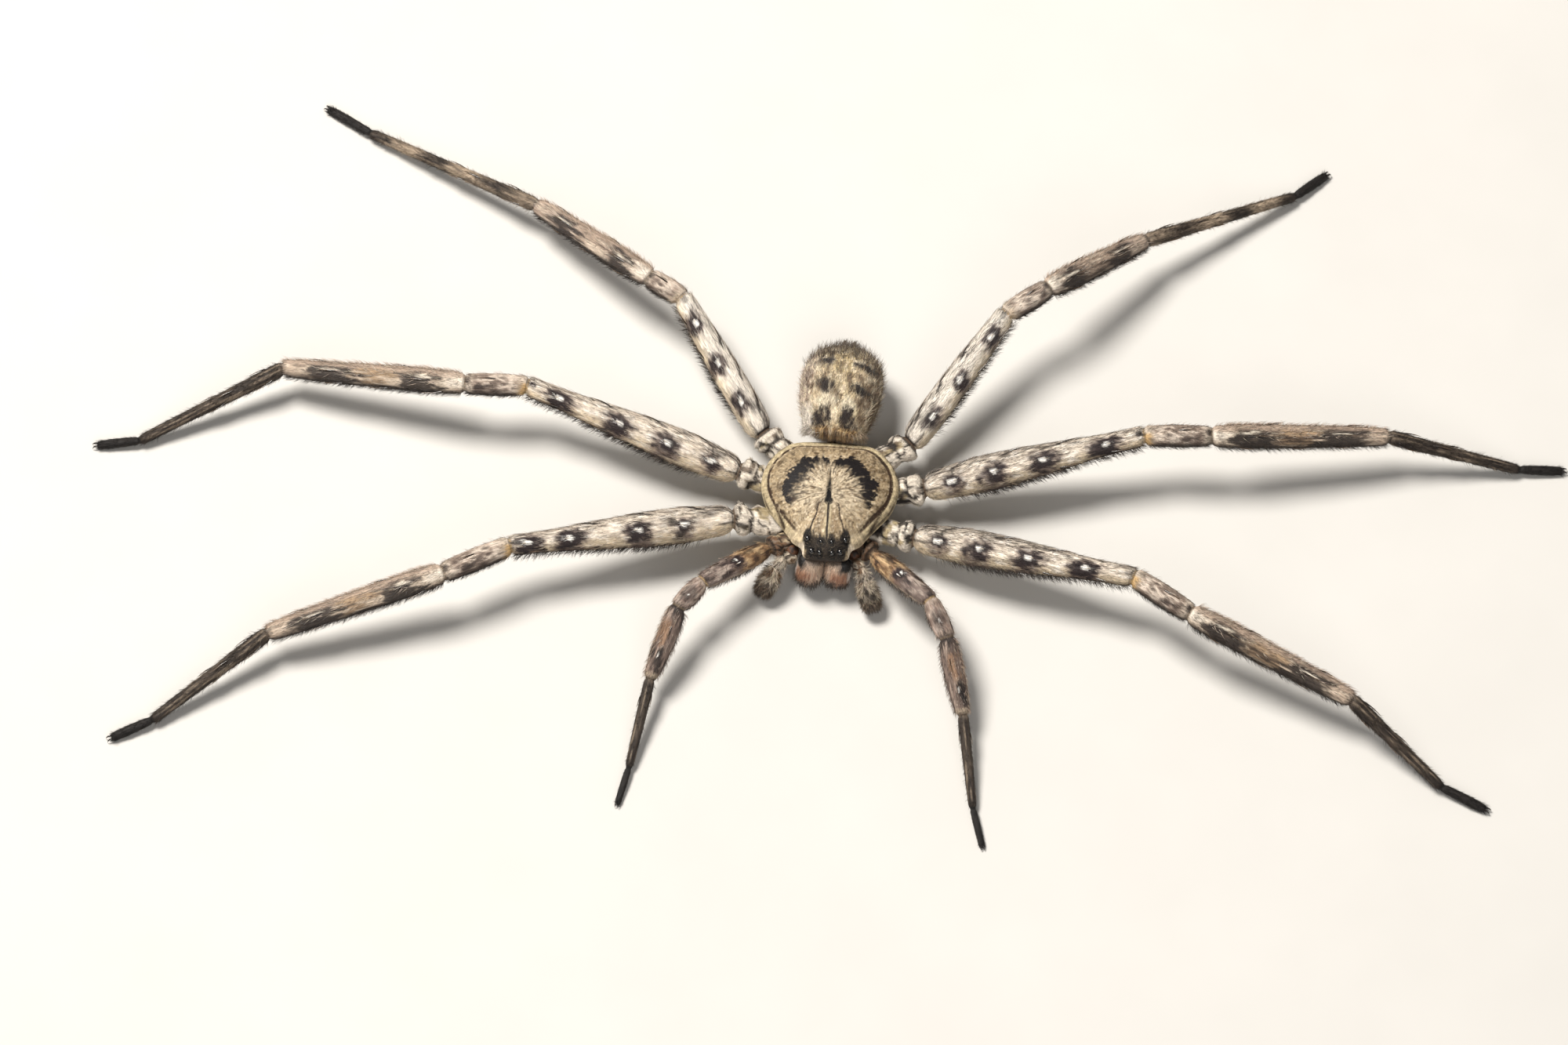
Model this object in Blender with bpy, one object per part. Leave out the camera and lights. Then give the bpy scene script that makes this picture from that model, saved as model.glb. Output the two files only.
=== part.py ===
"""Huntsman spider, an adult male at life size, standing still with its legs spread flat.

The spider faces -Y and stands on the plane Z = 0. Its right legs reach towards -X.
Every size below is in millimetres, and the meshes are scaled to metres when they are made.
"""

import math
from collections import namedtuple

import bmesh
import bpy
from mathutils import Matrix, Vector

MM = 0.001

# ---- gaps between neighbouring pieces ----
JOINT_GAP = 0.3
EYE_GAP = 0.07

# ---- carapace, measured from its own centre ----
CARAPACE_FRONT = -5.75
CARAPACE_REAR = 5.85
CARAPACE_HALF_WIDTH = ((-5.75, 1.5), (-5.5, 1.95), (-4.6, 2.3), (-4.25, 2.85), (-4.0, 3.12),
                       (-3.5, 3.45), (-2.4, 4.3), (-0.8, 5.5), (1.4, 6.1), (3.4, 5.72), (4.9, 4.65),
                       (5.6, 3.7), (5.85, 3.0))
CARAPACE_CREST = ((-5.75, 5.1), (-5.3, 5.75), (-4.4, 6.25), (-2.5, 6.7), (0.0, 6.8),
                  (2.0, 6.55), (4.0, 5.85), (5.3, 5.0), (5.85, 4.55))
CARAPACE_MARGIN = ((-5.75, 4.75), (-4.6, 4.6), (-2.5, 4.4), (2.0, 4.35), (5.85, 4.35))
CARAPACE_UNDERSIDE = 0.15
CARAPACE_ROUND = 1.3
BODY_END_FACE = 0.8
BODY_SHOULDER = 0.025

# ---- abdomen: its axis starts behind the carapace and leans a little to the left ----
ABDOMEN_START = (0.0, 6.05, 0.0)
ABDOMEN_LEAN = math.radians(-5.2)
ABDOMEN_LENGTH = 9.6
ABDOMEN_HALF_WIDTH = ((0.0, 2.25), (0.06, 2.7), (0.16, 3.12), (0.32, 3.55), (0.52, 3.78),
                      (0.72, 3.62), (0.88, 2.75), (1.0, 1.1))
ABDOMEN_TOP = ((0.0, 6.3), (0.1, 6.95), (0.3, 7.5), (0.5, 7.6), (0.75, 7.0), (0.92, 5.8), (1.0, 4.7))
ABDOMEN_BOTTOM = ((0.0, 5.0), (0.08, 2.9), (0.2, 1.8), (0.45, 1.3), (0.7, 1.4), (0.9, 2.1), (1.0, 2.9))

# ---- sternum, mouthparts and the stalk of the abdomen ----
STERNUM_HALF_WIDTH = 3.1
STERNUM_HALF_LENGTH = 3.7
STERNUM_CENTRE = (0.0, 0.5, 2.9)
STERNUM_HALF_HEIGHT = 0.95
STERNUM_SIDES = 20
STERNUM_RINGS = 10
MAXILLA_FROM = (1.1, -2.2, 2.6)
MAXILLA_TO = (1.0, -4.3, 2.2)
MAXILLA_RADIUS = 0.75
STALK_FROM = (0.0, 3.4, 3.3)
STALK_TO = (-0.1, 6.33, 3.55)
STALK_RADIUS = 0.65

# ---- coxae: inner end, half width, half height ----
COXA_INNER = {1: (1.7, -2.3, 2.75), 2: (2.3, -1.3, 2.75), 3: (2.5, 1.5, 2.75), 4: (1.7, 3.2, 2.75)}
COXA_HALF_WIDTH = {1: 0.95, 2: 1.3, 3: 1.3, 4: 1.25}
COXA_HALF_HEIGHT = {1: 0.8, 2: 0.95, 3: 0.95, 4: 0.95}
# share of the half width along a coxa and its trochanter, with the waist between the two
COXA_SHAPE = ((0.0, 0.8), (0.3, 0.95), (0.62, 1.0), (0.76, 0.92), (0.9, 1.12), (1.0, 1.0))
COXA_RINGS = 8

# ---- chelicerae, fangs and spinnerets ----
CHELICERA_TOP = (1.3, -5.25, 4.2)
CHELICERA_TIP = (1.3, -6.3, 1.3)
# how far both tips hang to the right of their tops
CHELICERA_SWING = 0.3
CHELICERA_HALF_WIDTH = ((0.0, 0.8), (0.12, 1.02), (0.4, 1.14), (0.75, 1.1), (1.0, 0.87))
CHELICERA_HALF_DEPTH = ((0.0, 0.55), (0.12, 0.95), (0.4, 1.25), (0.75, 1.1), (1.0, 0.75))
CHELICERA_SIDES = 14
CHELICERA_RINGS = 9
FANG_LENGTH = 1.5
FANG_RADIUS = 0.3
FANG_TIP_SHARE = 0.25
FANG_BEND = 0.28
FANG_SIDES = 7
FANG_RING_CUTS = 2
# how far a fang reaches inwards and backwards, and where its middle lies from the jaw's tip
FANG_AIM = (0.75, 0.55, 0.0)
FANG_MIDDLE = (0.15, 0.25, -0.6)
SPINNERET_LENGTH = 0.75
SPINNERET_RADIUS = 0.42
SPINNERET_LOWERED = 0.4
SPINNERET_ASIDE = 0.32
SPINNERET_SPLAY = 0.12
SPINNERET_DROP = 0.2
SPINNERET_TAPER = 0.35

# ---- palps ----
PALP_BASE = {"r": (-2.6, -4.45, 2.5), "l": (2.47, -4.47, 2.5)}
PALP_ELBOW = {"r": (-3.6, -5.0, 3.0), "l": (3.12, -5.5, 3.0)}
PALP_WRIST = {"r": (-4.35, -5.75, 2.7), "l": (3.5, -6.5, 2.6)}
PALP_TIP = {"r": (-5.5, -7.65, 1.15), "l": (4.35, -8.5, 1.1)}
PALP_RADIUS = 0.57
PALP_OVERLAP = 0.3
CYMBIUM_RADIUS = 0.8
CYMBIUM_FLATNESS = 0.85
TAPER = 0.25

# ---- eyes: distance from the middle, place along the body, radius ----
EYES = {
    "eye_front_middle": (0.55, -5.38, 0.27),
    "eye_front_side": (1.28, -5.2, 0.34),
    "eye_rear_middle": (0.48, -4.55, 0.25),
    "eye_rear_side": (1.68, -4.2, 0.31),
}
EYE_SUNK = 0.35
SLOPE_STEP = 0.05
BALL_FINENESS = 2

# ---- legs ----
# base: where the femur meets the trochanter. lengths and headings (degrees from +X) run over
# femur, patella, tibia, metatarsus and tarsus, as seen from above. heights: the joints and the tip.
# spots: the places along the femur that carry an upright spine in a dark spot.
Leg = namedtuple("Leg", "side pair base lengths headings heights spots")
LEGS = (
    Leg("r", 1, (-5.0, -4.1), (7.4, 3.1, 6.7, 8.0, 3.6), (-141, -129, -110, -100, -103),
        (3.3, 5.3, 5.0, 2.5, 0.62, 0.24), (0.5,)),
    Leg("r", 2, (-8.3, -1.6), (19.9, 6.3, 16.2, 12.5, 4.0), (-166, -152, -160, -141, -153),
        (3.4, 5.8, 5.9, 3.2, 0.72, 0.31), (0.22, 0.43, 0.74, 0.93)),
    Leg("r", 3, (-8.1, 3.0), (20.15, 5.5, 17.0, 14.3, 4.0), (162.5, -178, 173, -152, -172),
        (3.5, 6.2, 6.4, 3.4, 0.72, 0.31), (0.12, 0.33, 0.56, 0.85)),
    Leg("r", 4, (-6.2, 6.8), (14.4, 3.5, 13.9, 18.2, 5.0), (124, 150, 143, 153, 149),
        (3.5, 6.2, 6.4, 3.6, 0.72, 0.31), (0.22, 0.51, 0.81)),
    Leg("l", 1, (4.1, -4.2), (7.5, 3.7, 6.8, 8.2, 3.7), (-44, -64, -74, -81, -74),
        (3.3, 5.3, 5.0, 2.5, 0.62, 0.24), (0.5,)),
    Leg("l", 2, (7.7, -2.4), (19.8, 5.9, 15.7, 10.9, 4.4), (-12, -33, -24, -37, -24),
        (3.4, 6.4, 6.6, 4.4, 0.72, 0.31), (0.11, 0.30, 0.53, 0.79)),
    Leg("l", 3, (8.3, 2.4), (19.8, 5.9, 16.0, 12.6, 4.1), (14, 2, 7, -3, 4),
        (3.5, 6.6, 6.8, 4.6, 0.72, 0.31), (0.12, 0.31, 0.54, 0.83)),
    Leg("l", 4, (6.8, 6.6), (14.4, 4.4, 11.6, 16.1, 4.0), (55, 36, 39, 29, 42),
        (3.5, 7.6, 8.0, 4.8, 0.72, 0.31), (0.20, 0.49, 0.82)),
)
SEGMENTS = ("femur", "patella", "tibia", "metatarsus", "tarsus")
# half width of each segment along its length, for the long legs and for the short front pair
LONG_LEG_HALF_WIDTH = {
    "femur": ((0.0, 1.3), (0.08, 1.5), (0.27, 1.75), (0.55, 1.5), (0.8, 1.12), (1.0, 1.02)),
    "patella": ((0.0, 1.0), (0.5, 1.12), (1.0, 1.02)),
    "tibia": ((0.0, 1.02), (0.15, 1.19), (0.5, 1.13), (0.85, 1.0), (1.0, 0.88)),
    "metatarsus": ((0.0, 0.75), (0.1, 0.76), (0.5, 0.64), (1.0, 0.55)),
    "tarsus": ((0.0, 0.46), (0.3, 0.5), (0.75, 0.52), (1.0, 0.44)),
}
SHORT_LEG_HALF_WIDTH = {
    "femur": ((0.0, 0.85), (0.3, 1.1), (0.7, 1.05), (1.0, 0.9)),
    "patella": ((0.0, 0.85), (0.5, 1.0), (1.0, 0.9)),
    "tibia": ((0.0, 0.85), (0.3, 1.0), (0.7, 0.92), (1.0, 0.72)),
    "metatarsus": ((0.0, 0.58), (0.5, 0.54), (1.0, 0.45)),
    "tarsus": ((0.0, 0.38), (0.5, 0.4), (1.0, 0.36)),
}
HIND_FEMUR_HALF_WIDTH = ((0.0, 1.18), (0.1, 1.34), (0.3, 1.42), (0.6, 1.34), (0.8, 1.18), (1.0, 1.04))

# ---- spines of the legs ----
# place along the segment, angle round it (0 is the front edge, 90 the top, 180 the rear), length
LONG_LEG_SPINES = {
    "femur": ((0.17, 138, 1.9), (0.4, 138, 1.9), (0.64, 138, 1.9), (0.62, 15, 1.7), (0.86, 20, 1.7)),
    "patella": ((0.55, 100, 1.6),),
    "tibia": ((0.2, 68, 2.0), (0.7, 75, 2.0), (0.3, 150, 1.9), (0.76, 150, 1.9),
              (0.12, 5, 2.0), (0.42, 0, 2.1), (0.68, 0, 2.0)),
    "metatarsus": ((0.08, 10, 2.1), (0.1, 165, 2.0), (0.34, 90, 1.8), (0.42, 5, 1.9), (0.45, 175, 1.9)),
}
SHORT_LEG_SPINES = {
    "femur": ((0.3, 130, 1.1), (0.72, 130, 1.1)),
    "tibia": ((0.3, 75, 1.2), (0.6, 150, 1.2), (0.45, 5, 1.3)),
    "metatarsus": ((0.15, 10, 1.3), (0.2, 165, 1.2)),
}
SPOT_SPINE_ANGLE = 72
SPOT_SPINE_LENGTH = {1: 1.2, 2: 1.8, 3: 1.8, 4: 1.7}
SPINE_STAND = math.radians(35)
SPINE_ROOT_RADIUS = 0.26
SPINE_TIP_RADIUS = 0.05
SPINE_SUNK = 0.45
SPINE_SIDES = 5

# ---- height of each leg segment as a share of its width ----
FLATNESS = {"femur": 0.82, "patella": 0.84, "tibia": 0.86, "metatarsus": 0.9, "tarsus": 0.9}

# ---- fineness of the meshes ----
END_FACE = 0.74
SHOULDER = 0.04
LEG_SIDES = 10
FOOT_SIDES = 8
LEG_RINGS = 7
SMALL_RINGS = 5
BODY_SIDES = 24
BODY_RINGS = 19
SHARP_EDGE = math.radians(50)

Material = namedtuple("Material", "colour roughness")
MATERIALS = {
    "cuticle": Material((0.42, 0.34, 0.25), 0.75),
    "pale_cuticle": Material((0.55, 0.50, 0.42), 0.75),
    "banded_leg": Material((0.40, 0.36, 0.30), 0.7),
    "dark_leg": Material((0.07, 0.055, 0.045), 0.6),
    "jaw": Material((0.36, 0.22, 0.16), 0.6),
    "horn": Material((0.03, 0.015, 0.01), 0.25),
    "eye": Material((0.004, 0.004, 0.005), 0.05),
}


def material(name):
    made = bpy.data.materials.get(name)
    if made is None:
        made = bpy.data.materials.new(name)
        made.use_nodes = True
        shader = made.node_tree.nodes["Principled BSDF"]
        shader.inputs["Base Color"].default_value = (*MATERIALS[name].colour, 1.0)
        shader.inputs["Roughness"].default_value = MATERIALS[name].roughness
        shader.inputs["Metallic"].default_value = 0.0
    return made


def clear_scene():
    for obj in list(bpy.data.objects):
        bpy.data.objects.remove(obj, do_unlink=True)


def profile(points, at):
    """The smooth curve through (place, value) points, read at a place."""
    places = [place for place, _ in points]
    values = [value for _, value in points]
    at = min(max(at, places[0]), places[-1])
    i = 0
    while i < len(points) - 2 and at > places[i + 1]:
        i += 1

    def slope(k):
        before = max(k - 1, 0)
        after = min(k + 1, len(points) - 1)
        return (values[after] - values[before]) / (places[after] - places[before])

    span = places[i + 1] - places[i]
    s = (at - places[i]) / span
    near = (1 + 2 * s) * (1 - s) ** 2 * values[i] + s * (1 - s) ** 2 * span * slope(i)
    far = s * s * (3 - 2 * s) * values[i + 1] + s * s * (s - 1) * span * slope(i + 1)
    return near + far


def rounded_fractions(count, shoulder):
    """Places along a piece from 0 to 1: its end faces, a shoulder close to each, and even steps."""
    inner = [shoulder + (1 - 2 * shoulder) * k / (count - 3) for k in range(count - 2)]
    return [0.0, *inner, 1.0]


def ringed_mesh(place, rings, sides):
    """A sphere whose ring k and angle are moved to place(k, angle). Its two poles close the ends."""
    bm = bmesh.new()
    bmesh.ops.create_uvsphere(bm, u_segments=sides, v_segments=rings + 1, radius=1.0)
    for vert in bm.verts:
        level = round(math.acos(max(-1.0, min(1.0, vert.co.z))) / math.pi * (rings + 1))
        if level in (0, rings + 1):
            ring = 0 if level == 0 else rings - 1
            vert.co = (place(ring, 0.0) + place(ring, math.pi)) / 2
        else:
            vert.co = place(level - 1, math.atan2(vert.co.y, vert.co.x))
    if bm.calc_volume(signed=True) < 0:
        bmesh.ops.reverse_faces(bm, faces=bm.faces)
    return bm


def add_object(name, bm, finish, parent, matrix=None):
    """Turn a mesh in millimetres into a named, smoothly shaded object in metres."""
    bmesh.ops.scale(bm, verts=bm.verts, vec=(MM, MM, MM))
    mesh = bpy.data.meshes.new(name)
    bm.to_mesh(mesh)
    bm.free()
    mesh.materials.append(material(finish))
    mesh.shade_smooth()
    mesh.set_sharp_from_angle(angle=SHARP_EDGE)
    obj = bpy.data.objects.new(name, mesh)
    parent.users_collection[0].objects.link(obj)
    obj.parent = parent
    if matrix is not None:
        obj.location = matrix.to_translation() * MM
        obj.rotation_euler = matrix.to_euler()
    return obj


def join_by_union(base, pieces):
    """Fuse pieces into base and keep the largest closed surface."""
    holder = bpy.data.collections.new(base.name + "_joined")
    bpy.context.scene.collection.children.link(holder)
    for piece in pieces:
        piece.users_collection[0].objects.unlink(piece)
        holder.objects.link(piece)
    union = base.modifiers.new("union", "BOOLEAN")
    union.operation = "UNION"
    union.operand_type = "COLLECTION"
    union.collection = holder
    union.solver = "MANIFOLD"
    bpy.context.view_layer.update()
    graph = bpy.context.evaluated_depsgraph_get()
    fused = bpy.data.meshes.new_from_object(base.evaluated_get(graph))
    base.modifiers.remove(union)
    base.data = fused
    for piece in pieces:
        bpy.data.objects.remove(piece, do_unlink=True)
    bpy.data.collections.remove(holder)
    keep_largest_surface(fused)


def keep_largest_surface(mesh):
    bm = bmesh.new()
    bm.from_mesh(mesh)
    left = set(bm.verts)
    islands = []
    while left:
        island = {left.pop()}
        edge_of = list(island)
        while edge_of:
            vert = edge_of.pop()
            near = {edge.other_vert(vert) for edge in vert.link_edges} & left
            island |= near
            left -= near
            edge_of.extend(near)
        islands.append(island)
    islands.sort(key=len)
    for island in islands[:-1]:
        bmesh.ops.delete(bm, geom=list(island), context="VERTS")
    bm.to_mesh(mesh)
    bm.free()


def tube_mesh(start, end, half_width, half_height, sides, rings=LEG_RINGS, before=None, after=None,
              gap=JOINT_GAP, shoulder=SHOULDER):
    """A flattened tube from start to end in its own frame: X along it, Z upwards.

    before and after are the directions of the neighbouring pieces. Each end face lies in the
    plane that halves the bend, half a gap short of the joint.
    """
    frame = frame_along(start, end)
    surface = tube_surface(start, end, half_width, half_height, before, after, gap)
    fractions = rounded_fractions(rings, shoulder)

    def place(ring, angle):
        return surface(fractions[ring], angle, END_FACE if ring in (0, rings - 1) else 1.0)

    return ringed_mesh(place, rings, sides), frame


def tube_surface(start, end, half_width, half_height, before, after, gap):
    """A function of the place along a tube, the angle round it and the share of its thickness."""
    length = (Vector(end) - Vector(start)).length
    into_frame = frame_along(start, end).to_3x3().inverted()
    along = Vector((1, 0, 0))
    start_normal = (along + into_frame @ before.normalized()).normalized() if before else along
    end_normal = (along + into_frame @ after.normalized()).normalized() if after else along

    def surface(t, angle, share=1.0):
        y = share * half_width(t) * math.cos(angle)
        z = share * half_height(t) * math.sin(angle)
        across = Vector((0, y, z))
        first = (gap / 2 - across.dot(start_normal)) / start_normal.x
        last = length + (-gap / 2 - across.dot(end_normal)) / end_normal.x
        across.x = first + (last - first) * t
        return across

    return surface


def frame_along(start, end):
    """A frame at start whose X points to end and whose Z stays as upright as it can."""
    x = (Vector(end) - Vector(start)).normalized()
    up = Vector((0, 0, 1)) if abs(x.z) < 0.99 else Vector((0, 1, 0))
    y = up.cross(x).normalized()
    z = x.cross(y)
    frame = Matrix((x, y, z)).transposed().to_4x4()
    frame.translation = Vector(start)
    return frame


def constant(value):
    return lambda t: value


def curve(points, factor=1.0):
    return lambda t: factor * profile(points, t)


def tapered(bulge):
    """A profile that starts and ends a little slimmer than its middle."""
    return lambda t: bulge * (1 - TAPER * (2 * t - 1) ** 2)


# ---- the body ----

def make_carapace(root):
    length = CARAPACE_REAR - CARAPACE_FRONT
    fractions = rounded_fractions(BODY_RINGS, BODY_SHOULDER)

    def place(ring, angle):
        y = CARAPACE_FRONT + fractions[ring] * length
        edge = BODY_END_FACE if ring in (0, BODY_RINGS - 1) else 1.0
        margin = profile(CARAPACE_MARGIN, y)
        rise = profile(CARAPACE_CREST, y) - margin
        up = math.sin(angle)
        x = edge * profile(CARAPACE_HALF_WIDTH, y) * math.cos(angle)
        z = margin + edge * rise * up ** CARAPACE_ROUND if up > 0 else margin + CARAPACE_UNDERSIDE * up
        return Vector((x, y, z))

    shell = ringed_mesh(place, BODY_RINGS, BODY_SIDES)
    cut_eye_sockets(add_object("carapace", shell, "cuticle", root))


def carapace_surface(x, y):
    """The point of the carapace's upper face over a place on the ground plane."""
    margin = profile(CARAPACE_MARGIN, y)
    rise = profile(CARAPACE_CREST, y) - margin
    across = x / profile(CARAPACE_HALF_WIDTH, y)
    return Vector((x, y, margin + rise * max(0.0, 1 - across * across) ** (CARAPACE_ROUND / 2)))


def eye_places():
    """Name, centre and radius of each of the eight eyes, each sunk a share of its radius."""
    for side, sign in (("r", -1), ("l", 1)):
        for name, (x, y, radius) in EYES.items():
            on_surface = carapace_surface(sign * x, y)
            aside = carapace_surface(sign * x + SLOPE_STEP, y) - on_surface
            behind = carapace_surface(sign * x, y + SLOPE_STEP) - on_surface
            outwards = aside.cross(behind).normalized()
            yield f"{name}_{side}", on_surface - outwards * radius * EYE_SUNK, radius


def ball_mesh(centre, radius):
    bm = bmesh.new()
    bmesh.ops.create_icosphere(bm, subdivisions=BALL_FINENESS, radius=radius,
                               matrix=Matrix.Translation(centre))
    return bm


def cut_eye_sockets(carapace):
    cutters = bpy.data.collections.new("cutters")
    bpy.context.scene.collection.children.link(cutters)
    for name, centre, radius in eye_places():
        cutter = add_object("socket_" + name, ball_mesh(centre, radius + EYE_GAP), "eye", carapace)
        cutter.users_collection[0].objects.unlink(cutter)
        cutters.objects.link(cutter)
        cutter.hide_render = True
        cutter.display_type = "WIRE"
    cut = carapace.modifiers.new("eye sockets", "BOOLEAN")
    cut.operation = "DIFFERENCE"
    cut.operand_type = "COLLECTION"
    cut.collection = cutters


def make_eyes(root):
    for name, centre, radius in eye_places():
        ball = ball_mesh(Vector((0, 0, 0)), radius)
        add_object(name, ball, "eye", root, Matrix.Translation(centre))


def make_abdomen(root):
    fractions = rounded_fractions(BODY_RINGS, BODY_SHOULDER)

    def place(ring, angle):
        t = fractions[ring]
        edge = BODY_END_FACE if ring in (0, BODY_RINGS - 1) else 1.0
        top = profile(ABDOMEN_TOP, t)
        bottom = profile(ABDOMEN_BOTTOM, t)
        x = edge * profile(ABDOMEN_HALF_WIDTH, t) * math.cos(angle)
        z = (top + bottom) / 2 + edge * (top - bottom) / 2 * math.sin(angle)
        return Vector((x, t * ABDOMEN_LENGTH, z))

    frame = Matrix.Translation(ABDOMEN_START) @ Matrix.Rotation(ABDOMEN_LEAN, 4, "Z")
    add_object("abdomen", ringed_mesh(place, BODY_RINGS, BODY_SIDES), "cuticle", root, frame)
    make_spinnerets(root, frame)


def make_spinnerets(root, abdomen_frame):
    """Two blunt cones behind the abdomen, joined at their roots."""
    rear = ABDOMEN_LENGTH + JOINT_GAP
    height = (profile(ABDOMEN_TOP, 1.0) + profile(ABDOMEN_BOTTOM, 1.0)) / 2 - SPINNERET_LOWERED

    def radius(t):
        return SPINNERET_RADIUS * (1 - SPINNERET_TAPER * t)

    cones = []
    for side in (-1, 1):
        start = Vector((side * SPINNERET_ASIDE, rear, height))
        end = start + Vector((side * SPINNERET_SPLAY, SPINNERET_LENGTH, -SPINNERET_DROP))
        bm, frame = tube_mesh(start, end, radius, radius, FOOT_SIDES, SMALL_RINGS, gap=0)
        cones.append(add_object("spinnerets", bm, "cuticle", root, abdomen_frame @ frame))
    join_by_union(cones[0], cones[1:])


def make_sternum_and_coxae(root):
    """The plate under the body with the coxae, the mouthparts beside the jaws and the stalk."""
    bm = bmesh.new()
    bmesh.ops.create_uvsphere(bm, u_segments=STERNUM_SIDES, v_segments=STERNUM_RINGS, radius=1.0)
    half_sides = (STERNUM_HALF_WIDTH, STERNUM_HALF_LENGTH, STERNUM_HALF_HEIGHT)
    bmesh.ops.scale(bm, verts=bm.verts, vec=half_sides)
    sternum = add_object("sternum_coxae", bm, "pale_cuticle", root, Matrix.Translation(STERNUM_CENTRE))
    joined = [make_coxa(leg, root) for leg in LEGS]
    radius = tapered(MAXILLA_RADIUS)
    for side in ("r", "l"):
        start = mirrored(MAXILLA_FROM, side)
        end = mirrored(MAXILLA_TO, side)
        bm, frame = tube_mesh(start, end, radius, radius, FOOT_SIDES, SMALL_RINGS, gap=0)
        joined.append(add_object("maxilla", bm, "pale_cuticle", root, frame))
    radius = constant(STALK_RADIUS)
    bm, frame = tube_mesh(STALK_FROM, STALK_TO, radius, radius, FOOT_SIDES, SMALL_RINGS, gap=0)
    joined.append(add_object("stalk", bm, "pale_cuticle", root, frame))
    join_by_union(sternum, joined)


def make_coxa(leg, root):
    """One coxa with its trochanter, a ball just short of the femur."""
    start = mirrored(COXA_INNER[leg.pair], leg.side)
    joints = leg_joints(leg)
    half_width = curve(COXA_SHAPE, COXA_HALF_WIDTH[leg.pair])
    half_height = curve(COXA_SHAPE, COXA_HALF_HEIGHT[leg.pair])
    bm, frame = tube_mesh(start, joints[0], half_width, half_height, LEG_SIDES, COXA_RINGS,
                          after=joints[1] - joints[0])
    return add_object("coxa", bm, "pale_cuticle", root, frame)


# ---- jaws and palps ----

def mirrored(point, side):
    return Vector((-point[0] if side == "r" else point[0], point[1], point[2]))


def make_jaws(root):
    for side in ("r", "l"):
        top = mirrored(CHELICERA_TOP, side)
        tip = mirrored(CHELICERA_TIP, side) - Vector((CHELICERA_SWING, 0, 0))
        bm, frame = tube_mesh(top, tip, curve(CHELICERA_HALF_WIDTH), curve(CHELICERA_HALF_DEPTH),
                              CHELICERA_SIDES, CHELICERA_RINGS, gap=0)
        add_object("chelicera_" + side, bm, "jaw", root, frame)
        make_fang(side, tip, root)


def make_fang(side, chelicera_tip, root):
    """A curved, tapering fang folded inwards across the jaw's lower end."""
    inner = "l" if side == "r" else "r"
    bm = bmesh.new()
    bmesh.ops.create_cone(bm, cap_ends=True, segments=FANG_SIDES, radius1=FANG_RADIUS,
                          radius2=FANG_RADIUS * FANG_TIP_SHARE, depth=FANG_LENGTH)
    lengthwise = [edge for edge in bm.edges if edge.verts[0].co.z * edge.verts[1].co.z < 0]
    bmesh.ops.subdivide_edges(bm, edges=lengthwise, cuts=FANG_RING_CUTS)
    for vert in bm.verts:
        vert.co.x += FANG_BEND * (vert.co.z / FANG_LENGTH) ** 2
    frame = frame_along((0, 0, 0), mirrored(FANG_AIM, inner)) @ Matrix.Rotation(math.radians(90), 4, "Y")
    frame.translation = Vector(chelicera_tip) + mirrored(FANG_MIDDLE, inner)
    add_object("fang_" + side, bm, "horn", root, frame)


def make_palps(root):
    radius = tapered(PALP_RADIUS)
    for side in ("r", "l"):
        base = Vector(PALP_BASE[side])
        elbow = Vector(PALP_ELBOW[side])
        wrist = Vector(PALP_WRIST[side])
        tip = Vector(PALP_TIP[side])
        past_elbow = elbow + (elbow - base).normalized() * PALP_OVERLAP
        upper, upper_frame = tube_mesh(base, past_elbow, radius, radius, FOOT_SIDES, SMALL_RINGS, gap=0)
        lower, lower_frame = tube_mesh(elbow, wrist, radius, radius, FOOT_SIDES, SMALL_RINGS,
                                       after=tip - wrist)
        arm = add_object("palp_arm_" + side, upper, "banded_leg", root, upper_frame)
        forearm = add_object("palp_forearm", lower, "banded_leg", root, lower_frame)
        join_by_union(arm, [forearm])
        bulb, frame = tube_mesh(wrist, tip, tapered(CYMBIUM_RADIUS),
                                tapered(CYMBIUM_RADIUS * CYMBIUM_FLATNESS), LEG_SIDES,
                                before=wrist - elbow)
        add_object("palp_bulb_" + side, bulb, "banded_leg", root, frame)


# ---- the legs ----

def leg_joints(leg):
    """The six points of a leg, from the femur's base to the tip of the foot."""
    points = [Vector((*leg.base, leg.heights[0]))]
    for length, heading, height in zip(leg.lengths, leg.headings, leg.heights[1:]):
        rise = height - points[-1].z
        level = math.sqrt(length ** 2 - rise ** 2)
        angle = math.radians(heading)
        step = Vector((level * math.cos(angle), level * math.sin(angle), rise))
        points.append(points[-1] + step)
    return points


def segment_shape(leg, segment):
    widths = SHORT_LEG_HALF_WIDTH if leg.pair == 1 else LONG_LEG_HALF_WIDTH
    points = widths[segment]
    if leg.pair == 4 and segment == "femur":
        points = HIND_FEMUR_HALF_WIDTH
    return curve(points), curve(points, FLATNESS[segment])


def flatten_sole(bm, frame):
    """Cut the underside of a foot flat where it meets the floor."""
    floor = frame.inverted()
    geometry = [*bm.verts, *bm.edges, *bm.faces]
    bmesh.ops.bisect_plane(bm, geom=geometry, plane_co=floor.to_translation(),
                           plane_no=floor.to_3x3() @ Vector((0, 0, -1)), clear_outer=True)
    bmesh.ops.holes_fill(bm, edges=[edge for edge in bm.edges if edge.is_boundary])


def spines_of(leg, segment):
    """Place along, angle and length of each spine of one segment."""
    table = SHORT_LEG_SPINES if leg.pair == 1 else LONG_LEG_SPINES
    spines = list(table.get(segment, ()))
    if segment == "femur":
        spines += [(spot, SPOT_SPINE_ANGLE, SPOT_SPINE_LENGTH[leg.pair]) for spot in leg.spots]
    return spines


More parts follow.
